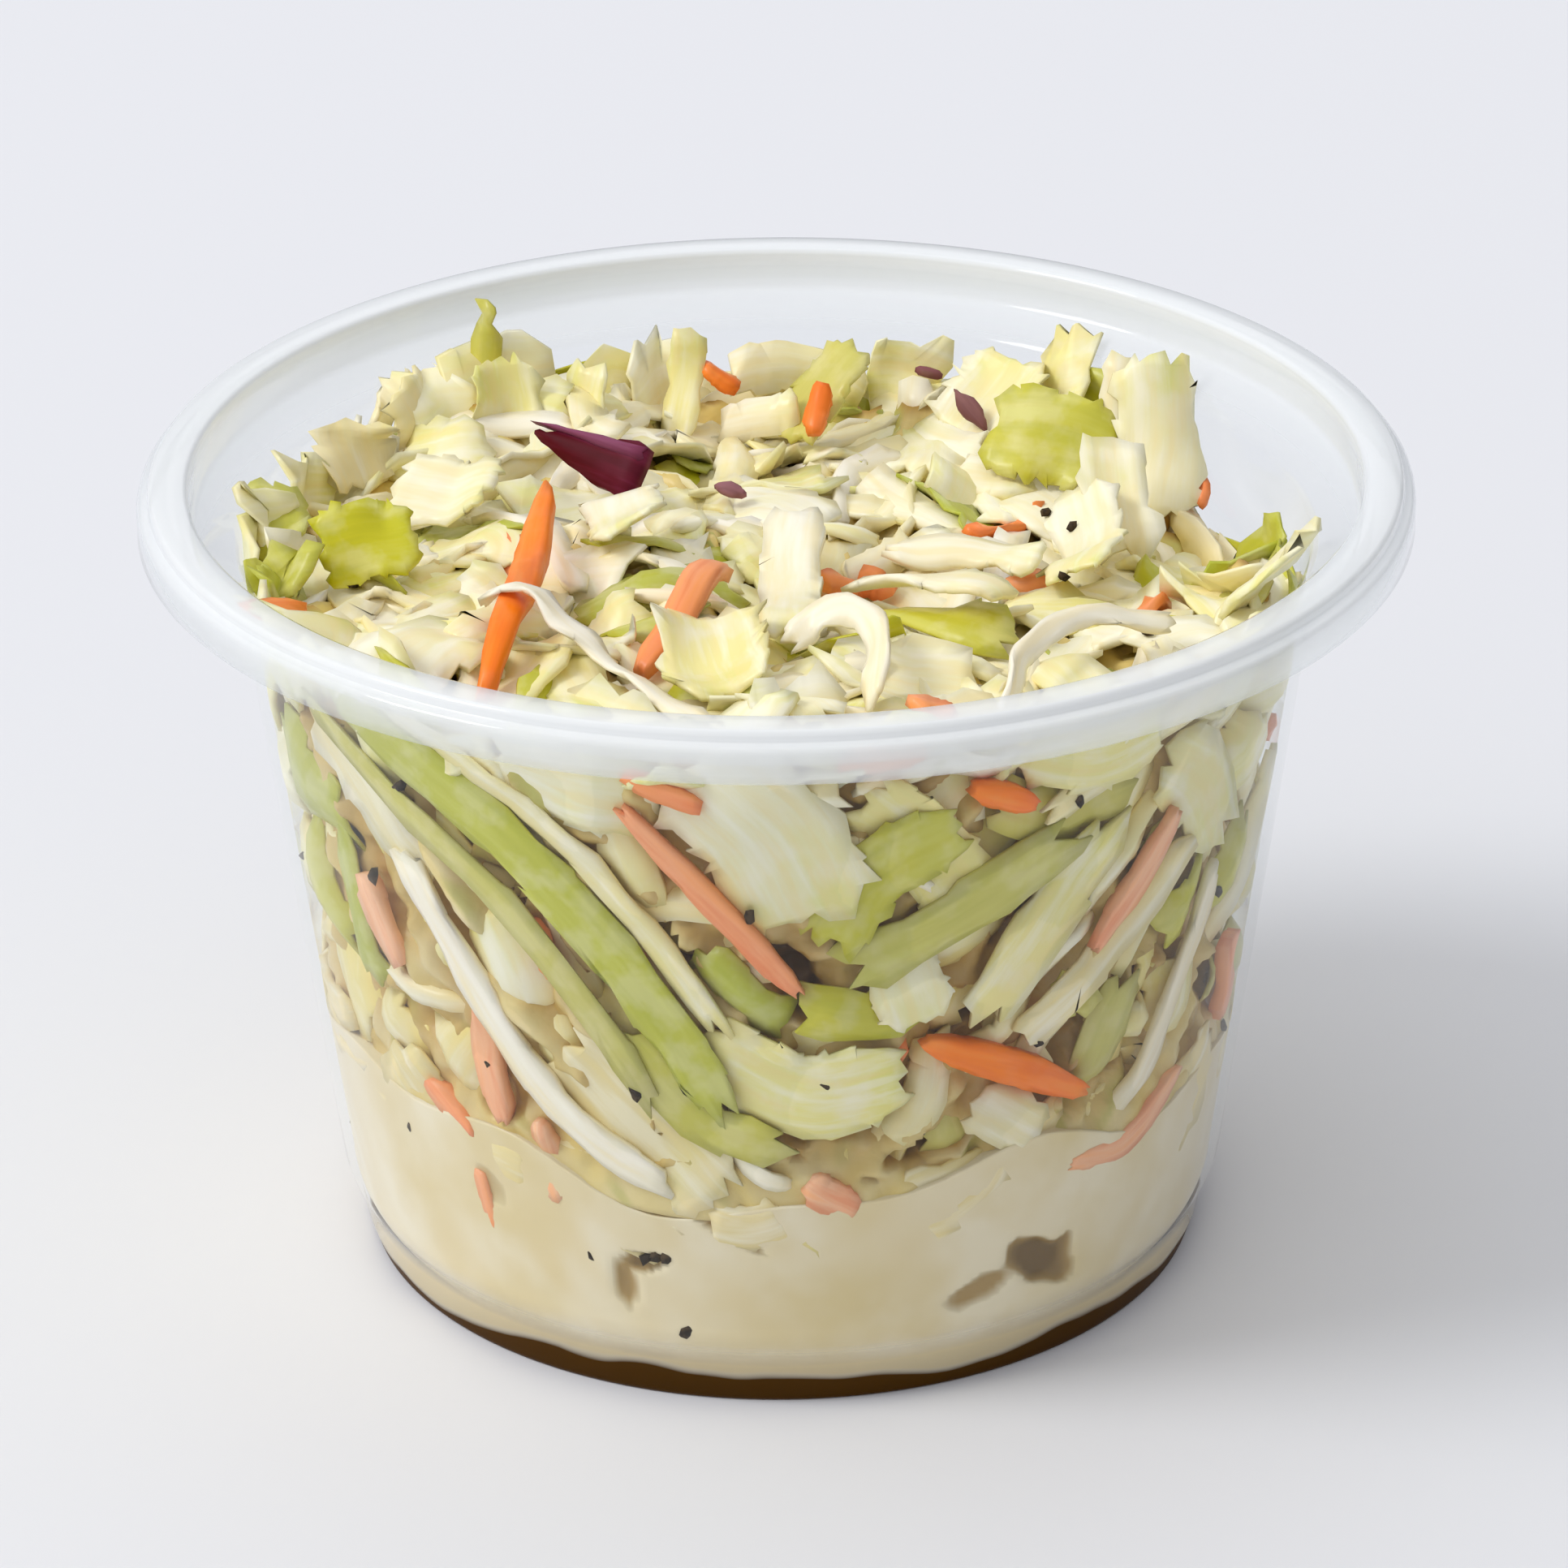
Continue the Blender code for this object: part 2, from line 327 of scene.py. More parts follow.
def layShred(bed, kind, shape, path, look):
    # path: (a, b, lift) along the middle, or (x, y, z) for a shred that stands free of the bed
    a, b, lift = path[:, 0], path[:, 1], path[:, 2]
    count = len(a)
    da, db = np.gradient(a), np.gradient(b)
    step = np.maximum(np.hypot(da, db), 1e-6)
    la, lb = -db / step, da / step
    half = look["width"] / 2
    if look["free"]:
        height, slope = lift, np.zeros(count)
    else:
        height, slope = drapedHeights(bed, a, b, la, lb, lift, look)
    centre = np.stack([a, b, height], 1)
    ahead = np.gradient(centre, axis=0)
    length = np.linalg.norm(np.diff(centre, axis=0), axis=1).sum()
    ahead /= np.linalg.norm(ahead, axis=1)[:, None]
    side = np.stack([la, lb, slope], 1)
    side -= ahead * (side * ahead).sum(1)[:, None]
    side /= np.linalg.norm(side, axis=1)[:, None]
    up = np.cross(ahead, side)
    turn = look["roll"] + look["twist"] * np.linspace(-0.5, 0.5, count)
    side, up = (side * np.cos(turn)[:, None] + up * np.sin(turn)[:, None],
                up * np.cos(turn)[:, None] - side * np.sin(turn)[:, None])
    bits = [(chance.uniform(1, 3), chance.uniform(-2, 2), chance.uniform(0, 6.3), 0.6),
            (chance.uniform(-4, 4), chance.uniform(2, 5), chance.uniform(0, 6.3), 0.4)]

    def warp(x, y, z):
        spot = np.clip((x + 1) / 2, 0, 1) * (count - 1)
        k = np.minimum(spot.astype(int), count - 2)
        t = (spot - k)[:, None]
        mid = centre[k] * (1 - t) + centre[k + 1] * t
        toSide = side[k] * (1 - t) + side[k + 1] * t
        toUp = up[k] * (1 - t) + up[k + 1] * t
        along = ahead[k] * ((x - np.clip(x, -1, 1)) * length / 2)[:, None]
        bowl = look["cup"] * (y ** 2 - 0.3) * half
        swell = look["crinkle"] * (0.45 + y ** 2) * waves(x * length / 2, y * half, bits)
        rise = z * look["thick"] / 2 + look["thick"] / 2 + bowl + swell
        return mid + along + toSide * (y * half)[:, None] + toUp * rise[:, None]

    grown = warp(*shape["points"].T)
    if not look["free"]:
        countU = max(4, int(length / shred["step"]))
        countV = max(3, int(look["width"] / shred["step"]))
        gridU, gridV = np.meshgrid(np.linspace(-1, 1, countU), np.linspace(-1, 1, countV))
        gridU, gridV = gridU.ravel(), gridV.ravel()
        bedRaise(bed, warp(gridU, gridV * (1 - 0.4 * gridU ** 4), np.ones_like(gridU)))
    placed = bed["place"](grown)
    radius = np.hypot(placed[:, 0], placed[:, 1])
    limit = innerRadius(placed[:, 2]) + pressOf(bed)
    squeeze = np.where(radius > limit, limit / np.maximum(radius, 1e-6), 1.0)
    placed[:, :2] *= squeeze[:, None]
    placed[:, 2] = np.clip(placed[:, 2], cup["floorZ"] + shred["overFloor"], cup["height"] + shred["overTop"])
    # how deep the shred lies sets its share of painted golden light
    deep = np.clip(bed["paintedGlowOf"](placed), 0, 1)
    shade = np.stack([np.full(len(grown), look["tone"]), (shape["points"][:, 0] + 1) / 2,
                      np.full(len(grown), look["soak"]), deep], 1)
    start = chance.uniform(0, shred["veinRange"], 2)
    veins = np.stack([start[0] + shape["points"][:, 0] * length / 2, shape["points"][:, 1] * half,
                      np.full(len(grown), start[1])], 1)
    addCopy(kind, shape, placed * mm, shade, veins)


def modelSlab(row, seed, ends):
    # a thin slab in its own units: x along, y across and z through it, each from -1 to 1
    along, across, rings, tip, power, ragged, rimThin = row[:-1]
    selectNothing()
    bpy.ops.mesh.primitive_grid_add(x_subdivisions=along, y_subdivisions=across, size=2)
    slab = bpy.context.object
    bpy.ops.object.mode_set(mode="EDIT")
    for end in ends:
        for ring in range(rings):
            place = 1 - 2 * ring / along
            selectVerts(slab, lambda v: abs(v.co.x * end - place) < 1 / along)
            width = tip + (1 - tip) * (ring / rings) ** power
            bpy.ops.transform.resize(value=(1, width, 1), center_override=(0, 0, 0))
    selectVerts(slab, lambda v: v.is_boundary)
    bpy.ops.transform.vertex_random(offset=ragged, uniform=1.0, seed=seed)
    bpy.ops.mesh.select_all(action="SELECT")
    bpy.ops.transform.resize(value=(1, 1, 0))
    bpy.ops.object.mode_set(mode="OBJECT")
    solid = slab.modifiers.new("thickness", "SOLIDIFY")
    solid.thickness = 2
    solid.offset = 0
    solid.use_even_offset = False
    bpy.ops.object.modifier_apply(modifier=solid.name)
    bpy.ops.object.mode_set(mode="EDIT")
    rimEdges = bmesh.from_edit_mesh(slab.data)
    flat = {v.index for f in rimEdges.faces if abs(f.normal.z) < 0.5 for v in f.verts}
    selectVerts(slab, lambda v: v.index in flat)
    bpy.ops.transform.resize(value=(1, 1, rimThin), center_override=(0, 0, 0))
    bpy.ops.object.mode_set(mode="OBJECT")
    return readShape(slab)


def readShape(thing):
    mesh = thing.data
    points = np.empty(len(mesh.vertices) * 3)
    mesh.vertices.foreach_get("co", points)
    faces = [tuple(p.vertices) for p in mesh.polygons]
    bpy.data.objects.remove(thing, do_unlink=True)
    return {"points": points.reshape(-1, 3), "faces": faces}


def modelGrain(seed):
    selectNothing()
    bpy.ops.mesh.primitive_ico_sphere_add(subdivisions=1, radius=1)
    grain = bpy.context.object
    bpy.ops.object.mode_set(mode="EDIT")
    bpy.ops.mesh.select_all(action="SELECT")
    bpy.ops.transform.vertex_random(offset=0.35, uniform=1.0, seed=seed)
    bpy.ops.object.mode_set(mode="OBJECT")
    return readShape(grain)


# Outlines of the shreds: faces along and across, rings that narrow to the tip and how (share of the full
# width, power), how ragged the edge is, its thickness there, and the seeds. The fine ones are for the
# shreds that show most; a sliver narrows at one end only.
slabs = {
    "sliver": (9, 3, 8, 0.05, 0.9, 0.1, 0.6, range(91, 93)),
    "strip": (10, 2, 1, 0.75, 1, 0.16, 0.5, range(1, 8)),
    "leaf": (7, 4, 1, 0.8, 1, 0.2, 0.45, range(11, 20)),
    "rib": (10, 2, 2, 0.5, 0.8, 0.05, 0.55, range(21, 24)),
    "carrot": (9, 2, 2, 0.55, 0.7, 0.12, 0.7, range(31, 35)),
    "wedge": (8, 3, 5, 0.12, 1, 0.08, 0.5, range(41, 43)),
    "fineLeaf": (16, 7, 2, 0.75, 1, 0.12, 0.45, range(61, 67)),
    "fineStrip": (20, 4, 2, 0.7, 0.8, 0.08, 0.5, range(71, 76)),
    "fineCarrot": (16, 4, 5, 0.35, 0.6, 0.05, 0.75, range(81, 85)),
}
shapes = {name: [modelSlab(row, seed, (-1,) if name == "sliver" else (-1, 1)) for seed in row[-1]]
          for name, row in slabs.items()}
shapes["grain"] = [modelGrain(seed) for seed in range(51, 55)]
print("stage: shapes modelled")


def pick(name):
    return shapes[name][chance.integers(len(shapes[name]))]


# Sizes of each sort of shred; a share says how often it is drawn.
sorts = {
    "cabbageStrips": {"shape": "strip", "length": (6, 15), "width": (1.6, 3.2), "thick": (0.6, 1.1),
                      "share": 0.34},
    "cabbageLeafBits": {"shape": "leaf", "length": (5, 10), "width": (3.4, 6.4), "thick": (0.5, 0.9),
                        "share": 0.42},
    "whiteRibs": {"shape": "rib", "length": (9, 18), "width": (1.2, 2.1), "thick": (0.7, 1.0),
                  "share": 0.10},
    "greenLeafStrips": {"shape": "leaf", "length": (6, 12), "width": (2.6, 5.0), "thick": (0.35, 0.5),
                        "share": 0.09},
    "carrotShreds": {"shape": "carrot", "length": (4, 10), "width": (1.0, 1.7), "thick": (0.8, 1.1),
                     "share": 0.035},
}


def drawSort(shares):
    names = list(sorts)
    weights = np.array([shares.get(name, sorts[name]["share"]) for name in names])
    return names[chance.choice(len(names), p=weights / weights.sum())]


def between(pair):
    return chance.uniform(*pair)


def randomPath(centreA, centreB, length, heading, bend, count=10):
    s = np.linspace(-0.5, 0.5, count) * length
    turn = heading + bend * s / length
    a = np.cumsum(np.cos(turn)) * length / count
    b = np.cumsum(np.sin(turn)) * length / count
    return a - a.mean() + centreA, b - b.mean() + centreB


def scatter(bed, wild):
    # lay shreds one by one where the bed lies lowest under its target, until it is filled
    laid = 0
    for number in range(wild["total"]):
        spots = wild["spots"](wild["places"])
        lack = bed["lack"](spots[:, 0], spots[:, 1])
        if lack.max() < wild["enough"]:
            break
        centre = spots[lack.argmax()]
        sort = drawSort(wild["shares"])
        info = sorts[sort]
        length = between(info["length"])
        for attempt in range(shred["tries"]):
            heading = bed["heading"](centre[0])
            bend = chance.normal(0, 0.7)
            a, b = randomPath(centre[0], centre[1], length, heading, bend)
            if bed["allowed"](a, b):
                break
            length *= shred["shorten"]
        else:
            continue
        pitch = abs(math.tan(chance.normal(0, wild["pitch"])))
        run = np.linspace(0, 1, len(a)) if chance.random() < 0.5 else np.linspace(1, 0, len(a))
        lift = pitch * length * (run - 0.35)
        lift += wild["curl"] * chance.uniform(0.2, 1) * (np.linspace(-1, 1, len(a)) ** 2)
        over = None if wild["over"] is None else between(wild["over"])
        look = {"width": between(info["width"]), "thick": between(info["thick"]), "stiff": 4,
                "roll": chance.normal(0, wild["roll"]), "twist": chance.normal(0, wild["twist"]),
                "cup": chance.normal(wild["bowl"], wild["cup"]), "crinkle": wild["crinkle"], "over": over,
                "sink": wild["sink"], "tone": chance.random(), "free": False,
                "soak": bed["soak"](centre[0], centre[1])}
        layShred(bed, sort, pick(info["shape"]), np.stack([a, b, lift], 1), look)
        laid += 1
    print("  ", laid, "shreds scattered")


# how a shred of the tables lies, unless its own row says otherwise
hero = {"roll": 0.0, "twist": 0.0, "cup": 0.0, "crinkle": 0.15, "stiff": 3, "sink": 0.1, "over": None,
        "free": False}
heroSteps = 14           # places along the middle of each

# Each row of the next three tables is one shred that shows: its kind and outline, the places along its
# middle, then width, thickness, tone and how far dressing has soaked it, and what else is its own.
strips, bits, ribs = "cabbageStrips", "cabbageLeafBits", "whiteRibs"
greens, carrots, plums = "greenLeafStrips", "carrotShreds", "redCabbageSlivers"

# Shreds that lie flat against the wall: (angle round the cup in degrees, height) along the middle.
wallHeroes = [
    (greens, "fineLeaf", [(-146, 43), (-133, 40.2), (-120, 36.6), (-109, 30.5), (-101, 24.5), (-97, 20.5)],
     (3.3, 0.5, 0.75, 0.1), {"crinkle": 0.3}),
    (greens, "strip", [(-148, 40), (-137, 37.2), (-124, 33.4), (-113, 27.2), (-106, 21.4)],
     (1.9, 0.5, 0.9, 0.45)),
    (strips, "fineStrip", [(-136, 43), (-124, 40.4), (-113, 37), (-104, 31.5), (-97, 26)],
     (1.7, 0.6, 1, 0.2)),
    (greens, "leaf", [(-108, 24.5), (-99, 19.5), (-90, 18)], (3, 0.5, 0.4, 0.3)),
    (ribs, "fineStrip", [(-136, 33), (-128, 26.5), (-121.5, 21.6), (-113, 17.4), (-104, 15)],
     (2.1, 0.9, 0.2, 0.15)),
    (bits, "fineLeaf", [(-116, 23), (-107, 18.6), (-98, 14.6)], (6.4, 0.5, 0.1, 0.7)),
    (carrots, "fineCarrot", [(-106.5, 40), (-99, 35.5), (-92, 31), (-88, 28.5)], (1.5, 0.9, 0.35, 0.25)),
    (carrots, "fineCarrot", [(-73.5, 24.4), (-62, 21.5), (-51, 18.2)], (2.1, 1.1, 1, 0)),
    (carrots, "fineCarrot", [(-128, 24.5), (-125.5, 17)], (1.9, 1, 0.15, 0.6)),
    (carrots, "carrot", [(-137.5, 17.6), (-130.5, 15.3)], (1.5, 1, 0.3, 0.15)),
    (carrots, "carrot", [(-145, 30), (-140, 25)], (2.2, 1, 0, 0.75)),
    (carrots, "carrot", [(-118.8, 31.2), (-116.2, 28)], (1.3, 1, 0.6, 0.15)),
    (carrots, "fineCarrot", [(-69.5, 40.8), (-62, 39)], (1.6, 1.1, 1, 0)),
    (carrots, "carrot", [(-106, 42.2), (-98, 40.6)], (1.2, 0.9, 0.6, 0.15)),
    (carrots, "fineCarrot", [(-41, 35), (-46, 31.5), (-52, 28)], (1.6, 0.9, 0.1, 0.6)),
    (carrots, "carrot", [(-18.5, 22), (-17, 16)], (2.2, 1.1, 0.3, 0.2)),
    (carrots, "fineCarrot", [(-32, 16), (-42, 13.2), (-52, 13.4)], (1.8, 1, 0.1, 0.6)),
    (carrots, "carrot", [(-130.5, 13), (-129, 9)], (1, 0.8, 0.3, 0.3)),
    (carrots, "carrot", [(-87, 15.4), (-81, 13.4)], (2.2, 1, 0, 0.6)),
    (carrots, "carrot", [(-84, 43.3), (-75, 43.8)], (1.5, 1, 0.5, 0.15)),
    (bits, "fineLeaf", [(-99, 43), (-91.5, 38.8), (-86.5, 33)], (8.2, 0.6, 0.1, 0.15)),
    (bits, "fineLeaf", [(-121, 41.6), (-112, 41), (-103, 40.2)], (5.4, 0.6, 0.05, 0.15)),
    (greens, "fineLeaf", [(-85, 31.5), (-79, 36.5), (-71, 38.5)], (4.4, 0.5, 0.2, 0.15)),
    (ribs, "rib", [(-86.5, 38), (-80, 37.4), (-73.5, 34.8)], (0.9, 0.6, 0.1, 0.15)),
    (greens, "leaf", [(-83, 29.5), (-69, 33), (-57, 36)], (3.6, 0.7, 0.7, 0.35)),
    (bits, "leaf", [(-67, 25.5), (-59, 31), (-51, 36)], (3.8, 0.7, 1, 0.3)),
    (strips, "strip", [(-61, 23.5), (-49, 27.5), (-38, 32.5)], (2.6, 0.7, 1, 0.5)),
    (bits, "fineLeaf", [(-99, 24.6), (-88, 21.6), (-76, 22.4)], (5.6, 0.6, 0.95, 0.15)),
    (bits, "fineLeaf", [(-77.5, 31.5), (-74, 26)], (4.4, 0.6, 0.15, 0.15)),
    (ribs, "fineStrip", [(-46, 13.5), (-38, 20), (-30, 29)], (1.7, 0.8, 0.3, 0.45)),
    (bits, "fineLeaf", [(-63, 42.8), (-54, 41.4), (-46, 42)], (5.2, 0.5, 0.95, 0.15)),
    (strips, "fineStrip", [(-60, 38), (-48, 41), (-35, 42.5)], (2, 0.6, 0.9, 0.15)),
    (ribs, "rib", [(-100, 20.5), (-94, 16.5), (-88, 15)], (1.2, 0.8, 0.6, 0.15)),
    (strips, "strip", [(-150, 39), (-141, 36), (-134, 31.5)], (3.4, 0.7, 0.4, 0.4)),
    (greens, "leaf", [(-88, 27.5), (-80, 26.5), (-74, 27.5)], (3.2, 0.5, 0.1, 0.15)),
    (bits, "leaf", [(-44, 39), (-36, 36), (-31, 31)], (5, 0.6, 0.7, 0.15)),
    (greens, "leaf", [(-66, 39.6), (-58, 37.6), (-50, 38.4)], (3.6, 0.5, 0.15, 0.45)),
    (bits, "fineLeaf", [(-81, 40.8), (-74, 37.4), (-68.5, 32.8)], (4.6, 0.6, 1, 0.3)),
    (greens, "strip", [(-52, 25.2), (-45, 30), (-41, 34)], (2, 0.5, 0.3, 0.5)),
    (greens, "leaf", [(-56.5, 25.8), (-50, 24.4)], (2.8, 0.5, 0.2, 0.4)),
    (bits, "leaf", [(-66, 19.5), (-58, 16.5)], (3.6, 0.6, 0.1, 0.5)),
]

# Shreds on top of the heap: (x, y, lift) along the middle.
topHeroes = [
    (plums, "sliver", [(-13.8, 13.6, 44.2), (-10.9, 11.2, 43.8), (-7.6, 8.4, 43.6)],
     (3.5, 1.3, 0, 0), {"roll": 0.9, "crinkle": 0.1, "free": True}),
    (plums, "sliver", [(-13.9, 13.9, 44.7), (-10.9, 11.7, 44.7), (-7.4, 9, 44.6)],
     (0.9, 1.3, 0.9, 0), {"roll": 0.9, "crinkle": 0, "free": True}),
    (plums, "wedge", [(-3.6, 9.8, 0.6), (-1.8, 9.2, 0.5)], (1.6, 0.6, 0.9, 0.15)),
    (carrots, "fineCarrot", [(-13.2, 1.5, 2.2), (-14.4, -9, 1.3), (-16.1, -21, 0.4)], (1.9, 1.1, 1, 0)),
    (carrots, "fineCarrot", [(-3.2, -6.5, 1.2), (-7.6, -15.8, 0.2)], (1.9, 1.1, 0.5, 0.15)),
    (carrots, "carrot", [(2.4, -1.2, 0.4), (4.4, -0.4, 0.5)], (1.6, 1, 0.8, 0.15)),
    (carrots, "carrot", [(4.8, 2, 0.4), (6.9, 1, 0.4)], (1.8, 1, 0.8, 0.15)),
    (carrots, "carrot", [(13.6, -0.2, 0.3), (16.4, -1.2, 0.3)], (1.5, 1, 0.3, 0.15)),
    (carrots, "carrot", [(7.2, -25.2, 0.3), (9.6, -24.6, 0.3)], (1.4, 0.9, 0.4, 0.15)),
    (greens, "fineLeaf", [(-26.4, -2.6, 0.4), (-21, -1.4, 0.6)], (5, 0.5, 0, 0), {"roll": 0.8}),
    (greens, "leaf", [(-30, -3.4, 0.3), (-26.9, -5, 0.3)], (4, 0.5, 0.4, 0.15), {"roll": 0.4}),
    (greens, "leaf", [(-30, 6.2, 0.3), (-28.4, 0.6, 0.4)], (3.6, 0.5, 0.5, 0.15), {"roll": 0.4}),
    (greens, "fineLeaf", [(13, 18.4, 0.4), (20, 16.2, 0.6)], (6, 0.5, 0.1, 0.15), {"roll": 0.5}),
    (greens, "leaf", [(5.6, -4.6, 0.3), (9.8, -9.4, 0.4), (13.4, -11.4, 0.2)],
     (3.6, 0.5, 0.1, 0.15), {"roll": 0.3}),
    (strips, "fineStrip", [(1.2, 3, 1.6), (0.9, -5, 1.2), (0.5, -13, 0.4)],
     (3.6, 0.8, 0.2, 0.15), {"roll": 0.3}),
    (bits, "fineLeaf", [(-4.3, -12.6, 0.5), (-2.6, -21.4, 0.3)], (6.2, 0.6, 0.9, 0.3), {"cup": 0.5}),
    (bits, "fineLeaf", [(18, 10.5, 2.2), (18.6, 2, 0.8), (17, -4, 0.3)],
     (4.6, 0.5, 0.2, 0.15), {"roll": 0.5}),
    (strips, "fineStrip", [(4.6, -2.2, 1), (9.6, -8.2, 0.8), (12.8, -10.6, 0.4)],
     (2.8, 0.7, 0.4, 0.15), {"roll": 0.3}),
    (strips, "fineStrip", [(6.6, 2.6, 0.8), (12.6, 1.2, 0.8), (15.4, -2, 0.4)],
     (2.6, 0.7, 0.3, 0.15), {"roll": 0.2}),
    (ribs, "fineStrip", [(0.7, -15.8, 0.4), (2.5, -14.8, 1.3), (4.9, -16.6, 1.7), (6, -20.4, 1.2),
       (5.4, -24.4, 0.2)],
     (1.9, 0.6, 0.5, 0.15), {"roll": 1, "crinkle": 0.35}),
    (ribs, "fineStrip", [(12.2, -25.2, 0.2), (13.4, -20.4, 1.2), (17.2, -14.8, 2), (22.6, -12.2, 0.8)],
     (1.5, 0.5, 0.2, 0.15), {"roll": 0.7, "crinkle": 0.3}),
    (ribs, "fineStrip", [(-16.4, -12.6, 1), (-10.6, -17.6, 0.8), (-3.6, -26.6, 0.2)],
     (1.6, 0.4, 0.2, 0.15), {"crinkle": 0.3}),
    (bits, "fineLeaf", [(-9.4, 4.4, 0.8), (-8.4, -2.6, 0.7)], (4.6, 0.5, 0, 0.15), {"roll": 0.4}),
    (bits, "fineLeaf", [(-22.4, 8.6, 0.8), (-16.6, 6, 0.8)], (5.2, 0.5, 0.2, 0.15), {"roll": 0.4}),
]

# Shreds that stand up at the back: (x, y, z) along the middle.
standing = [
    (bits, "fineLeaf", [(22.8, 14, 38.5), (23.2, 16.4, 42.2), (22.9, 19, 46.8)],
     (5.4, 0.5, 0.2, 0.15), {"cup": -0.5, "twist": 0.3}),
    (strips, "strip", [(20.2, 16, 38.5), (21, 19.6, 46.4)], (2.2, 0.5, 0.1, 0.15), {"twist": 0.5}),
    (greens, "strip", [(-18, 21.8, 40.5), (-17.6, 24, 45.2), (-17.4, 24.3, 48.6)],
     (1.9, 0.4, 0.15, 0.3), {"twist": 0.6}),
    (bits, "fineLeaf", [(-16.6, 19.4, 39.8), (-16.4, 20.4, 42.6), (-17, 21.6, 45.8)],
     (4.4, 0.5, 0.95, 0.15), {"cup": 0.4}),
    (bits, "fineLeaf", [(-20.2, 18.6, 40.2), (-21.2, 19.6, 42.4), (-22.6, 20, 45.4)],
     (6.2, 0.5, 0.15, 0.5), {"cup": -0.4}),
    (bits, "leaf", [(-11.8, 21.4, 39.8), (-11.4, 22.4, 42.6), (-10.9, 23, 44.8)],
     (2.9, 0.4, 0.9, 0.15), {"cup": 0.4}),
    (bits, "leaf", [(-6, 23.6, 39.8), (-5.4, 25.2, 43.2), (-5.3, 25.8, 45.7)],
     (2.4, 0.5, 0.9, 0.15), {"twist": 0.5}),
    (carrots, "carrot", [(-4.7, 25.4, 43.5), (-2.6, 25, 42.1)], (1.5, 0.9, 0.9, 0)),
    (strips, "strip", [(-3.2, 24.4, 40.2), (-0.6, 22.8, 41.6), (1.4, 21.8, 42.4)],
     (2.4, 0.6, 0.2, 0.15), {"roll": 1.2}),
    (greens, "fineLeaf", [(1.2, 20.6, 40.6), (2.8, 23.4, 42.8), (5, 25.2, 44.9)],
     (3.8, 0.5, 0.3, 0.4), {"twist": 0.4}),
    (carrots, "carrot", [(2.3, 19.4, 41.6), (3, 21.8, 43.8)], (1.4, 0.9, 0.9, 0)),
    (plums, "wedge", [(8.6, 27, 42.5), (10.2, 26.8, 42.2)], (1.3, 0.6, 0.3, 0.15)),
    (plums, "wedge", [(11, 24, 42.4), (12.9, 21.8, 40.8)], (1.7, 0.7, 0.6, 0.15), {"roll": 0.5}),
    (bits, "fineLeaf", [(11.6, 22.6, 40), (13.6, 24.4, 42), (15.2, 25.8, 43.8)],
     (6.6, 0.5, 0.6, 0.15), {"cup": 0.3}),
    (bits, "leaf", [(20.6, 6, 39.4), (20.2, 9.4, 41.4), (20, 12.6, 43.6)],
     (4.2, 0.5, 0.1, 0.15), {"cup": 0.4}),
    (bits, "leaf", [(-24.6, 12.6, 41.4), (-25.4, 13.4, 43.6), (-25.6, 14, 45)],
     (5, 0.4, 0.2, 0.6), {"cup": 0.3}),
]


core = {
    "turnSteps": 420, "topRows": 44, "sideRows": 84, "underRows": 8,
    "deepest": 2.4, "relief": 0.6, "topShade": 0.04, "edge": (1.9, 1.6), "highest": 43.6,
    "dent": 1.6,             # how far it stands off the wall
    "dentBehind": 1.2,       # further at the back
    "dentLeft": 0.6,         # and nearer on the left
    "dentMost": 2.6,
    "mostBehind": 0.8,
    "tuck": 1.0,             # its side ends so far under the heap's edge and the dressing's level
    "crevice": 1.6,          # crevices go so many times deeper than their rows say
    # crevices at the wall: angle, height, half length, half width, tilt in degrees, depth
    "hollows": [
        (-122.6, 32.4, 2.6, 0.6, -48, 2.0), (-103.4, 31.4, 2.4, 0.8, -45, 2.2),
        (-109.6, 26.4, 3.0, 1.2, -42, 1.8), (-88.6, 29.0, 2.8, 1.5, -50, 2.0),
        (-66.0, 25.6, 3.6, 1.4, 22, 2.2), (-97.6, 18.0, 4.2, 0.9, -12, 1.8),
        (-71.4, 16.8, 3.2, 0.8, 14, 2.0), (-84.0, 19.4, 5.6, 1.6, 10, 1.2),
        (-99.5, 40.6, 2.8, 1.0, -18, 1.4), (-126.6, 18.8, 2.0, 2.2, -30, 1.0),
        (-56.6, 33.2, 3.4, 0.7, 46, 1.8), (-47.6, 27.0, 2.8, 0.8, 52, 1.6),
        (-39.6, 24.4, 1.8, 1.0, 70, 1.8), (-44.4, 18.8, 1.4, 0.8, 30, 1.5),
        (-80.6, 31.2, 2.8, 1.3, -60, 1.0), (-95.5, 23.2, 2.6, 0.8, -20, 1.7),
        (-146.0, 41.4, 2.4, 1.6, -20, 0.9), (-62.0, 30.6, 2.6, 0.6, 48, 1.5),
        (-53.0, 22.0, 2.2, 0.7, 30, 1.5),
    ],
}
pool = {
    "turnSteps": 360, "topRows": 16, "sideRows": 60, "underRows": 8,
    "ripple": 0.35, "deepest": 0.8, "edge": (1.5, 1.2),
    "edgeR": 26.8,           # where the dressing's level is read at the wall
    "usualTop": 15.0,        # and what it is taken to be where nothing is met
    "hollows": [
        (-110.2, 8.0, 0.8, 1.6, 8, 0.35), (-107.6, 9.4, 1.6, 0.6, 15, 0.5),
        (-55.5, 7.3, 2.9, 1.4, -26, 0.62), (-64.5, 6.4, 2.6, 0.8, 14, 0.28),
        (-98.5, 12.6, 3.8, 0.35, -34, 0.3), (-129.2, 12.2, 0.9, 1.2, 0, 0.15),
    ],
}


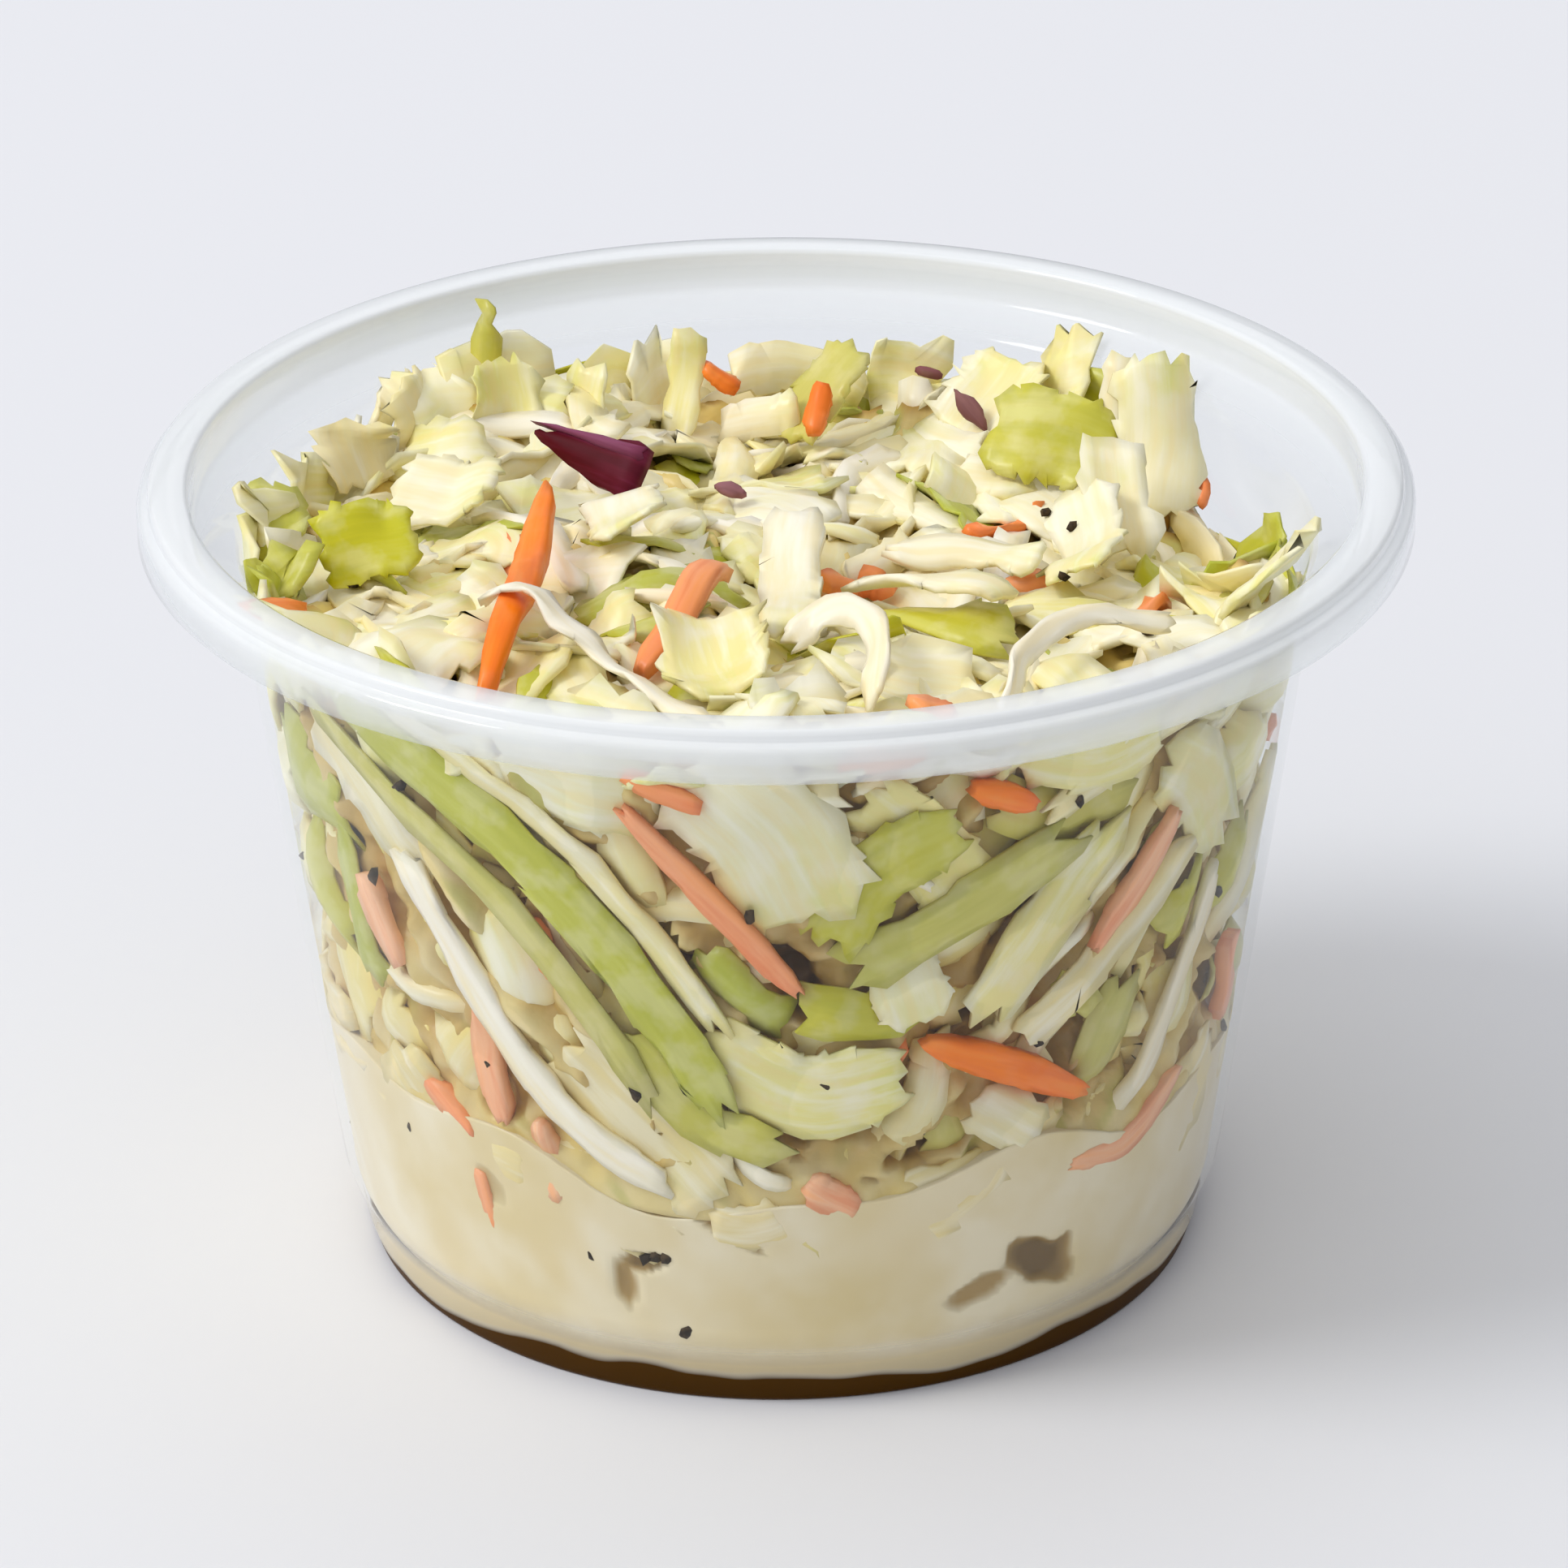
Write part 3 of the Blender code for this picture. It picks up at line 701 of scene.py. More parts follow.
def layHeroes(bed, heroes, usual):
    for kind, outline, places, (width, thick, tone, soak), *own in heroes:
        path = smoothPath([bed["spotOf"](place) for place in places], heroSteps)
        look = {**usual, "width": width, "thick": thick, "tone": tone, "soak": soak}
        layShred(bed, kind, pick(outline), path, {**look, **(own[0] if own else {})})


def wallSpot(place):
    turn = math.radians(place[0]) % math.tau
    return (math.tau - turn) * wallTurn, place[1], 0.0


heap = {
    "settle": 2.2,           # the shreds are laid up to this far under the heap's outline
    "coreDrop": 3.2,         # and the core lies this far under it
    "span": 34.4,            # half the side of the top's grid
    "readR": 33.0,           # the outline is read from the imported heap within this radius
    "usualTop": 42.0,        # and taken to be this high where nothing is met
    "edgeR": 30.2,           # where the heap's edge is read at the wall
    "highest": 47.6,
    "spotR": 29.5,           # middles of strewn shreds lie within this radius
    "reachR": 30.6,          # and their ends within this one
    "paintedGlowDepth": 2.6,      # a shred this deep is as golden as the painted light gets
    "paintedGlowTop": 41.0,       # the painted golden light starts from here down at the wall
    "wallHigh": 0.4,         # strewn middles at the wall, over the heap's edge
    "wallLow": 1.8,          # and under the dressing's level
}
ticks = np.arange(-heap["span"], heap["span"] + cell / 2, cell)
outlineTop = np.array([[topOf(slawTree, x, y, heap["usualTop"]) if math.hypot(x, y) < heap["readR"]
                        else heap["usualTop"] for y in ticks] for x in ticks])
gridX, gridY = np.meshgrid(ticks, ticks, indexing="ij")
gridR = np.hypot(gridX, gridY)
outlineTop = outlineTop - heap["settle"] * np.clip((34 - gridR) / 4, 0, 1)
wallFloor = np.where(gridR < innerR[8], 0, np.interp(gridR, innerR[8:], innerZ[8:]))
coreTop = outlineTop + heap["settle"] - heap["coreDrop"]
topGrid = {"low": (-heap["span"], -heap["span"]), "wrap": False}
topBed = {**topGrid, "grid": np.maximum(coreTop, np.minimum(wallFloor, heap["highest"]))}
target = {**topGrid, "grid": outlineTop}


def topSpots(count):
    radius = heap["spotR"] * np.sqrt(chance.random(count))
    turn = chance.random(count) * math.tau
    return np.stack([radius * np.cos(turn), radius * np.sin(turn)], 1)


# share of painted golden light in the heap: how far under the outline a point lies, none near the wall
def paintedGlowInHeap(placed):
    under = bedLook(target, placed[:, 0], placed[:, 1]) + 0.2 - placed[:, 2]
    fade = np.clip((30 - np.hypot(placed[:, 0], placed[:, 1])) / 4, 0, 1)
    return under / heap["paintedGlowDepth"] * fade


def inCup(a, b):
    return bool(np.all(np.hypot(a, b) < heap["reachR"]))


def topDepth(a, b):
    return bedLook(target, a, b) - bedLook(topBed, a, b)


def topSoak(a, b):
    return chance.uniform(0.0, 0.15)


def anyHeading(a):
    return chance.uniform(0, math.tau)


topBed.update({"spotOf": tuple, "place": np.copy, "paintedGlowOf": paintedGlowInHeap,
               "lack": topDepth, "allowed": inCup, "soak": topSoak, "heading": anyHeading})

# the wall's bed: depth inwards from the wall, round the cup and up it
turns = int(round(math.tau * wallTurn / cell))
turnCell = math.tau * wallTurn / turns
rows = int((cup["height"] - 2) / cell)
wallBed = {"grid": np.zeros((turns, rows)), "low": (0, 2.0), "wrap": True}
edgeTurns = np.arange(turns) * turnCell


def edgeLevel(solid, radius, fallback):
    return np.array([topOf(solid, radius * math.cos(-t / wallTurn), radius * math.sin(-t / wallTurn),
                           fallback) for t in edgeTurns])


edgeTop = edgeLevel(slawTree, heap["edgeR"], heap["usualTop"])
edgePool = edgeLevel(dressingTree, pool["edgeR"], pool["usualTop"])
print("stage: beds ready")


def atEdge(values, a):
    return values[np.round(np.asarray(a) / turnCell).astype(int) % turns]


def wallSpots(count):
    a = chance.random(count) * math.tau * wallTurn
    low = atEdge(edgePool, a) - heap["wallLow"]
    high = atEdge(edgeTop, a) + heap["wallHigh"]
    return np.stack([a, low + (high - low) * chance.random(count)], 1)


def poolSpots(count):
    a = chance.random(count) * math.tau * wallTurn
    return np.stack([a, atEdge(edgePool, a) + chance.uniform(-2.2, 1.0, count)], 1)


# share of painted golden light at the wall: how far in from the wall a point lies, fading out towards the
# heap's top
def paintedGlowAtWall(placed):
    inwards = innerRadius(placed[:, 2]) - np.hypot(placed[:, 0], placed[:, 1]) - 0.3
    return inwards / heap["paintedGlowDepth"] * np.clip((heap["paintedGlowTop"] - placed[:, 2]) / 4, 0, 1)


def onWall(a, b):
    inside = bool(np.all(b > atEdge(edgePool, a) - 3.0) and np.all(b < atEdge(edgeTop, a) + 0.7))
    return inside and clearOfHollows(a, b)


def clearOfHollows(a, b):
    for angle, height, long, short, tilt, deep in core["hollows"]:
        middle = (-math.radians(angle) % math.tau) * wallTurn
        if np.min(np.hypot(a - middle, b - height)) < 1.1 + short:
            return False
    return True


def wallDepth(a, b):
    return -bedLook(wallBed, a, b)


def wallSoak(a, b):
    rise = b - float(atEdge(edgePool, a))
    return float(np.clip(0.9 - rise / 12, 0.08, 0.85))


# in degrees: the lean, where round the cup it turns over and how gradually, and the lean behind
flowing = {"lean": 50, "parting": -98, "over": 14, "sideLean": 45}


def flow(a):
    # the way the shreds lean at the wall: down to the right on the left side of the front, up to
    # the right on its right side, and slowly changing behind
    degrees = (math.degrees(-a / wallTurn) + 180) % 360 - 180
    across = np.clip((degrees - flowing["parting"]) / flowing["over"], 0, 1)
    front = np.clip((175 - abs(degrees + 90)) / 60 - 1, 0, 1)
    behind = flowing["sideLean"] * math.sin(math.radians(degrees * 3) + 1)
    return math.radians(front * flowing["lean"] * (1 - 2 * across) + (1 - front) * behind)


def flowHeading(a):
    return flow(a) + chance.normal(0, 0.45) + math.pi * chance.integers(2)


wallBed.update({"spotOf": wallSpot, "place": wallPlace, "paintedGlowOf": paintedGlowAtWall,
                "lack": wallDepth, "allowed": onWall, "soak": wallSoak, "heading": flowHeading})
layHeroes(wallBed, wallHeroes, hero)
# how each strewn layer lies: at most this many shreds, each put in the lowest of so many places looked at,
# until no such place lacks more than enough, and how far the shreds pitch, curl, roll, twist and bow
layers = {
    "sunk": {"spots": poolSpots, "total": 34, "places": 10, "enough": -9, "pitch": 0.0, "curl": 0.1,
             "roll": 0.0, "twist": 0.1, "bowl": 0.1, "cup": 0.1, "crinkle": 0.15, "sink": 0.1,
             "over": None, "shares": {bits: 0.6, carrots: 0.03}},
    "flat": {"spots": wallSpots, "total": 300, "places": 90, "enough": -0.3, "pitch": 0.03, "curl": 0.7,
             "roll": 0.12, "twist": 0.3, "bowl": 0.3, "cup": 0.15, "crinkle": 0.2, "sink": 0.15,
             "over": None, "shares": {bits: 0.5, ribs: 0.08, greens: 0.14}},
    "behind": {"spots": wallSpots, "total": 140, "places": 30, "enough": -3.5, "pitch": 0.14, "curl": 0.6,
               "roll": 0.3, "twist": 0.5, "bowl": 0.1, "cup": 0.25, "crinkle": 0.3, "sink": 0.2,
               "over": None, "shares": {}},
    "top": {"spots": topSpots, "total": 620, "places": 30, "enough": -0.35, "pitch": 0.13, "curl": 0.35,
            "roll": 0.25, "twist": 0.5, "bowl": 0.0, "cup": 0.2, "crinkle": 0.4, "sink": 0.5,
            "over": (-0.3, 0.7), "shares": {}},
}
# shreds half sunk where the dressing meets the heap, then those against the wall and those behind them
scatter(wallBed, layers["sunk"])
scatter(wallBed, layers["flat"])
scatter(wallBed, layers["behind"])
print("stage: wall shreds laid")

scatter(topBed, layers["top"])
layHeroes(topBed, topHeroes, hero)
layHeroes(topBed, standing, {**hero, "free": True})
print("stage: top shreds laid")


pepper = {
    "size": (0.30, 0.5), "bold": 0.55, "onTop": 4, "onWall": 24,
    "spots": [(-134.5, 37.9), (-142.3, 30.5), (-93.3, 33.7), (-107, 21.1), (-84.9, 22.3), (-102.5, 4.9),
              (-106.0, 9.9), (-107.2, 9.7), (-56.5, 38.5), (-104.6, 9.9)],
}


def addGrain(centre, radius):
    shape = pick("grain")
    turn = chance.normal(0, 1, (3, 3))
    turn = np.linalg.qr(turn)[0]
    if np.linalg.det(turn) < 0:
        turn[:, 0] *= -1
    points = shape["points"] * radius * (1, 0.8, 0.7)
    placed = points @ turn.T + centre
    limit = innerRadius(placed[:, 2]) + cup["press"] + 0.02
    length = np.hypot(placed[:, 0], placed[:, 1])
    placed[:, :2] *= np.minimum(1, limit / np.maximum(length, 1e-6))[:, None]
    addCopy("pepperSpecks", shape, placed * mm, np.full((len(points), 4), chance.random()), points)


for number in range(pepper["onWall"]):
    if number < len(pepper["spots"]):
        angle, z = pepper["spots"][number]
        size, sunk = pepper["bold"], 0.1
    else:
        angle, z, size = chance.uniform(-180, 180), chance.uniform(4, 38), between(pepper["size"])
        sunk = 0.4
    r = float(innerRadius(z)) - size * sunk
    addGrain(np.array([r * math.cos(math.radians(angle)), r * math.sin(math.radians(angle)), z]), size)
for number in range(pepper["onTop"]):
    x, y = topSpots(1)[0]
    addGrain(np.array([x, y, float(bedLook(topBed, x, y)) + 0.1]), between(pepper["size"]))


def noiseField(seed, count, low, high):
    # a smooth random field of x, y and z, from crossed waves
    picks = np.random.default_rng(seed)
    ways = picks.normal(0, 1, (count, 3))
    ways /= np.linalg.norm(ways, axis=1)[:, None]
    ways *= picks.uniform(low, high, count)[:, None]
    phases = picks.uniform(0, math.tau, count)

    def field(points):
        return np.sin(points @ ways.T + phases).sum(1) / math.sqrt(count / 2)
    return field


def around(radius, turn, z):
    return np.stack([radius * np.cos(turn), radius * np.sin(turn), z], 1)


coreNoise = noiseField(5, 20, 0.25, 0.9)
fineNoise = noiseField(6, 20, 1.0, 2.6)
poolNoise = noiseField(7, 16, 0.2, 0.8)


def streakField(seed, turn, z):
    # long uneven streaks that lean the way the shreds do
    picks = np.random.default_rng(seed)
    degrees = (np.degrees(turn) + 180) % 360 - 180
    share = np.clip((degrees + 101) / 22, 0, 1)
    u = (np.radians(degrees + 90) + math.pi) % math.tau * wallTurn
    total = np.zeros_like(z)
    for degree, weight in ((-flowing["lean"], 1 - share), (flowing["lean"], share)):
        lean = math.radians(degree)
        along = u * math.cos(lean) + z * math.sin(lean)
        across = z * math.cos(lean) - u * math.sin(lean)
        field = np.zeros_like(z)
        for number in range(18):
            wave = picks.uniform(0.7, 2.6) * across + picks.normal(0, 0.35) * along
            field += np.sin(wave + picks.uniform(0, math.tau))
        total += weight * field / 3
    return total


def hollowDepth(look, turn, z):
    depth = np.zeros_like(z)
    wobble = 1 + 0.3 * fineNoise(around(wallTurn, turn, z) * 1.3)
    for angle, height, long, short, tilt, deep in look["hollows"]:
        away = (turn - math.radians(angle) + math.pi) % math.tau - math.pi
        u, v = away * wallTurn, z - height
        lean = math.radians(tilt)
        along = u * math.cos(lean) + v * math.sin(lean)
        across = v * math.cos(lean) - u * math.sin(lean)
        reach = ((along / long) ** 2 + (across / short) ** 2) * np.clip(wobble, 0.4, 2)
        depth = np.maximum(depth, deep * np.clip(look["edge"][0] - look["edge"][1] * reach, 0, 1))
    return depth


def ballOf(name, look):
    # a ball whose rows of points, from the top pole down, are then moved on to a body's surface
    selectNothing()
    count = look["topRows"] + look["sideRows"] + look["underRows"]
    bpy.ops.mesh.primitive_uv_sphere_add(segments=look["turnSteps"], ring_count=count, radius=1)
    ball = bpy.context.object
    ball.name = name
    ball.data.name = name
    points = np.empty(len(ball.data.vertices) * 3)
    ball.data.vertices.foreach_get("co", points)
    points = points.reshape(-1, 3)
    turn = np.arctan2(points[:, 1], points[:, 0])
    row = np.round(np.arccos(np.clip(points[:, 2], -1, 1)) / math.pi * count)
    topPart = np.clip(row / look["topRows"], 0, 1)
    sidePart = np.clip((row - look["topRows"]) / look["sideRows"], 0, 1)
    underPart = np.clip((count - row) / look["underRows"], 0, 1)
    return ball, turn, topPart, sidePart, underPart


def finishBody(body, placed, paintedShadeShare, tone, green):
    body.data.vertices.foreach_set("co", (placed * mm).ravel())
    layer = body.data.attributes.new("shade", "FLOAT_COLOR", "POINT")
    colours = np.stack([paintedShadeShare, tone, green, np.ones(len(tone))], 1)
    layer.data.foreach_set("color", colours.astype(np.float32).ravel())
    body.data.update()
    body.data.shade_smooth()
    return body


def makeCore():
    body, turn, topPart, sidePart, underPart = ballOf("slawCore", core)
    unroll = (-turn % math.tau) * wallTurn
    low = atEdge(edgePool, unroll) - core["tuck"]
    high = np.minimum(atEdge(edgeTop, unroll) - core["tuck"], core["highest"])
    z = high + (low - high) * sidePart
    radius = innerRadius(z)
    spots = around(radius, turn, z)
    # how far up the side, how far round to the back and to the left
    up = (z - low) / (high - low)
    behind = np.clip(1.3 + 2.6 * np.sin(turn), 0, 1)
    left = np.clip(-np.cos(turn), 0, 1) * (1 - behind)
    rough = 0.55 * streakField(11, turn, z) + 0.5 * coreNoise(spots) + 0.25 * fineNoise(spots)
    dents = core["dent"] + core["dentBehind"] * behind + 0.6 * rough - core["dentLeft"] * left
    dents = np.clip(dents, 0, core["dentMost"] + core["mostBehind"] * behind) * np.clip(up * 5, 0, 1)
    holes = hollowDepth(core, turn, z)
    depth = np.maximum(dents, core["crevice"] * holes)
    inset = depth + 0.25 * np.clip(depth, 0, 1) * fineNoise(spots * 1.7)
    edge = radius + 0.03 - np.maximum(inset, 0)
    placed = around(edge * topPart * underPart, turn, z)
    # its top follows the heap's outline, hidden under the shreds
    crown = bedLook(target, placed[:, 0], placed[:, 1]) + heap["settle"] - heap["coreDrop"] + 0.4
    crown += core["relief"] * fineNoise(around(edge * topPart, turn, crown))
    blend = np.clip((1 - topPart) * 8, 0, 1)
    placed[:, 2] = np.where(topPart < 1, crown * blend + z * (1 - blend), z)
    # painted shade: tan where the heap stands off the wall and brown in the crevices, as deep as they go
    share = np.maximum(0.16 * np.minimum(dents, 2.2), holes / core["deepest"])
    # on top, where it shows only in gaps between shreds, a touch of painted shade (topShade) and the yellow
    # shred tone stand in for the golden light and shade down there
    shade = np.where(topPart < 1, core["topShade"], np.clip(share, 0, 1))
    tone = np.clip(0.4 + 0.35 * streakField(12, turn, z) + 0.2 * fineNoise(spots), 0, 1)
    tone = np.where(topPart < 1, 1.0, tone)
    green = np.clip(0.8 * streakField(13, turn, z) - 0.9 + 0.8 * up, 0, 1)
    return finishBody(body, placed, shade, tone, green)


def makePool():
    body, turn, topPart, sidePart, underPart = ballOf("dressingPool", pool)
    unroll = (-turn % math.tau) * wallTurn
    high = atEdge(edgePool, unroll) + 0.7 * np.sin(turn * 5 + 1) + 0.5 * np.sin(turn * 11)
    low = cup["floorZ"] - cup["press"] + 0.12 + 0.12 * np.sin(turn * 9)
    z = high + (low - high) * sidePart
    depth = hollowDepth(pool, turn, z)
    edge = innerRadius(z) + 0.04 - depth
    placed = around(edge * topPart * underPart, turn, z)
    ripple = pool["ripple"] * poolNoise(placed) - 0.8 * (1 - topPart)
    placed[:, 2] += np.where(topPart < 1, ripple, 0)
    tone = np.clip(0.35 + 0.3 * poolNoise(placed * 1.5) + 0.12 * streakField(14, turn, z), 0, 1)
    # its hollows get painted shade as deep as they are
    return finishBody(body, placed, np.clip(depth / pool["deepest"], 0, 1), tone, np.zeros_like(z))


def foodShader(tree, colour, look, bump=None):
    inputs = {"Base Color": colour, "Roughness": look["roughness"], "IOR": 1.38, "Coat Weight": look["coat"],
              "Coat Roughness": 0.25, "Specular IOR Level": look["gloss"]}
    if bump is not None:
        inputs["Normal"] = bump
    shader = addNode(tree, "ShaderNodeBsdfPrincipled", inputs)
    addNode(tree, "ShaderNodeOutputMaterial", {"Surface": shader}, None)


def layered(tree, base, coats):
    # colours laid over one another, each with its share
    for share, colour in coats:
        base = addNode(tree, "ShaderNodeMix", {0: share, 6: base, 7: colour}, 2, data_type="RGBA")
    return base


def shadeParts(tree):
    # how each point is made up: tone of the piece, place along it, share of dressing, and depth it lies at,
    # which sets a painted golden light (on the core and pool: share of painted shade, tone, green)
    shade = addNode(tree, "ShaderNodeAttribute", {}, None, attribute_name="shade")
    parts = addNode(tree, "ShaderNodeSeparateColor", {0: shade["Color"]}, None)
    return parts[0], parts[1], parts[2], shade["Alpha"]


def speckle(tree, size, detail):
    # soft noise with spots of this size in millimetres
    place = addNode(tree, "ShaderNodeTexCoord", {}, "Object")
    return addNode(tree, "ShaderNodeTexNoise", {"Scale": 1 / (size * mm), "Detail": detail, "Vector": place},
                   "Fac")


def patches(tree, size, detail, low, high):
    return addNode(tree, remap, (speckle(tree, size, detail), low, high))


def rawCabbage(name, pale, deep, edge, own):
    # Raw leaf and root, cut and dressed: waxy, paler at the rib end and yellower or greener at the leaf
    # end, with fine veins along it, under a thin wet coat of dressing that gathers in patches.
    look = {**leafLight, **own}
    material, tree = newMaterial(name)
    tone, along, soak, buriedForPaintedGlow = shadeParts(tree)
    leafEnd = addNode(tree, remap, (along, 0.35, 1.0, 0.0, look["edgeShare"]))
    leafEnd = addNode(tree, maths, (leafEnd, patches(tree, 3.0, 2.0, 0.3, 0.7)), **times)
    thin = addNode(tree, maths, (patches(tree, 2.2, 3.0, 0.46, 0.62), look["cream"]), **times)
    soak = addNode(tree, maths, (soak, 0.9), **times)
    base = layered(tree, pale, [(tone, deep), (leafEnd, edge), (thin, "#F9F3DC"), (soak, look["soaked"])])
    # the fibres run along each shred and also stand a little proud
    run = addNode(tree, "ShaderNodeAttribute", {}, "Vector", attribute_name="veins")
    run = addNode(tree, "ShaderNodeVectorMath", (run, (0.14, 1.1, 1.0)), operation="MULTIPLY")
    fibre = addNode(tree, "ShaderNodeTexNoise", {"Scale": 1.0, "Detail": 3.0, "Vector": run}, "Fac")
    bump = addNode(tree, "ShaderNodeBump", {"Strength": 0.35, "Distance": 0.13 * mm, "Height": fibre})
    # painted light: deep in the heap the colour is painted golden, standing in for light that has come
    # through other leaves
    paintedGlow = addNode(tree, maths, (buriedForPaintedGlow, look["paintedGlow"]), **times)
    base = layered(tree, base, [
        (addNode(tree, remap, (fibre, 0.5, 0.66, 0.0, look["veins"])), look["veinPale"]),
        (addNode(tree, remap, (fibre, 0.5, 0.34, 0.0, look["veins"])), look["veinDeep"]),
        (paintedGlow, look["paintedGlowColour"])])
    foodShader(tree, base, look, bump)
    return material


leafLight = {"roughness": 0.42, "coat": 0.3, "gloss": 0.4, "soaked": "#E4CE94", "veins": 0.38,
             "veinPale": "#FFFBEE", "veinDeep": "#F4DC90", "paintedGlow": 0.7, "paintedGlowColour": "#FFE04C"}
materials = {
    strips: rawCabbage("rawWhiteCabbageCut", "#FAF4DC", "#F8ECB4", "#ECE67A",
                       {"edgeShare": 0.7, "cream": 0.45}),
    bits: rawCabbage("rawWhiteCabbageLeafTorn", "#F9F3D4", "#F3EA98", "#DEDE54",
                     {"edgeShare": 0.8, "cream": 0.45}),
    ribs: rawCabbage("rawCabbageRibCut", "#FAF4E6", "#FAF0CE", "#F6EAB4",
                     {"edgeShare": 0.5, "cream": 0.4, "veins": 0.35}),
    greens: rawCabbage("rawGreenCabbageLeafCut", "#CAC40A", "#B2B838", "#A6AE24",
                       {"edgeShare": 0.5, "cream": 0.2, "veins": 0.2, "veinPale": "#DCDE7C",
                        "veinDeep": "#98A010", "paintedGlow": 0.3, "paintedGlowColour": "#C8C020"}),
    carrots: rawCabbage("rawCarrotShredded", "#F8A878", "#FF8204", "#FA6600",
                        {"edgeShare": 0.5, "cream": 0.04, "coat": 0.15, "soaked": "#F6CCA4",
                         "veinPale": "#FF9C3C", "veinDeep": "#E25E08", "paintedGlow": 0.3,
                         "paintedGlowColour": "#F08418"}),
    plums: rawCabbage("rawRedCabbageCut", "#560010", "#8A4A66", "#7A2A46",
                      {"edgeShare": 0.6, "cream": 0.0, "roughness": 0.55, "gloss": 0.2, "coat": 0.0,
                       "veinPale": "#8C3A5C", "veinDeep": "#40040E", "paintedGlow": 0.2,
                       "paintedGlowColour": "#6A2038"}),
}
# dry and rough, near black with browner patches
materials["pepperSpecks"], tree = newMaterial("crackedBlackPepper")
foodShader(tree, layered(tree, "#2A2118", [(patches(tree, 0.5, 2.0, 0.4, 0.6), "#4A3A26")]),
           {"roughness": 0.6, "coat": 0.0, "gloss": 0.2})


def creamWithPaintedHollowShade(name, look):
    # Cream dressing against the wall with pale and yellow shreds showing through it, and painted shade, tan
    # and then brown, where a crevice runs back from the wall or the heap stands off it.
    material, tree = newMaterial(name)
    paintedHollowShade, tone, green = shadeParts(tree)[:3]
    base = layered(tree, look["cream"], [
        (tone, look["shred"]), (patches(tree, look["cloudSize"], 3.0, 0.42, 0.7), look["cloud"]),
        (green, look["leaf"]), (addNode(tree, remap, (paintedHollowShade, 0.03, 0.35, 0.0, 1.0)), look["near"]),
        (addNode(tree, remap, (paintedHollowShade, 0.35, 0.9, 0.0, 1.0)), look["deep"])])
    bump = addNode(tree, "ShaderNodeBump", {"Strength": look["relief"], "Distance": 0.25 * mm,
                                            "Height": speckle(tree, look["grain"], 3.0)})
    foodShader(tree, base, look, bump)
    return material


# the colours for shallow and deep hollows are painted shade, tan and brown
coreMaterial = creamWithPaintedHollowShade("packedCabbageInDressing", {
    "cream": "#E8D6A2", "shred": "#E6CC78", "cloud": "#E2CC8C", "leaf": "#BDB964", "near": "#C09648",
    "deep": "#5E3A14", "roughness": 0.4, "coat": 0.2, "gloss": 0.4, "cloudSize": 4.0, "grain": 1.2,
    "relief": 0.4})
poolMaterial = creamWithPaintedHollowShade("creamDressingPoured", {
    "cream": "#ECDFBE", "shred": "#E4D1A2", "cloud": "#DFCB96", "leaf": "#C0BE6C", "near": "#B2925A",
    "deep": "#5E4218", "roughness": 0.32, "coat": 0.3, "gloss": 0.4, "cloudSize": 7.0, "grain": 3.0,
    "relief": 0.12})


plastic = {
    # all in metres, as the shader reads them
    "paintedShadeEnds": (0.0016, 0.0022),    # heights between which the foot's painted shade turns clear
    "corner": (0.0026, 0.0042),       # where the corner's painted cream ends
    "rimFrom": (0.0438, 0.0458),      # the thick rim begins
    "backlit": (0.0462, 0.0474),      # its veil lets less light through and scatters more
    "crown": (0.0470, 0.0476),        # and its crown is whiter still
    "paintedShadeWander": 0.0030,                 # how far the painted shade band wanders up and down
    "paintedShadeThinSide": (-0.022, -0.013),     # where across the cup the painted shade band thins out
    "paintedShadeThinner": 0.0013,                # and by how much
}


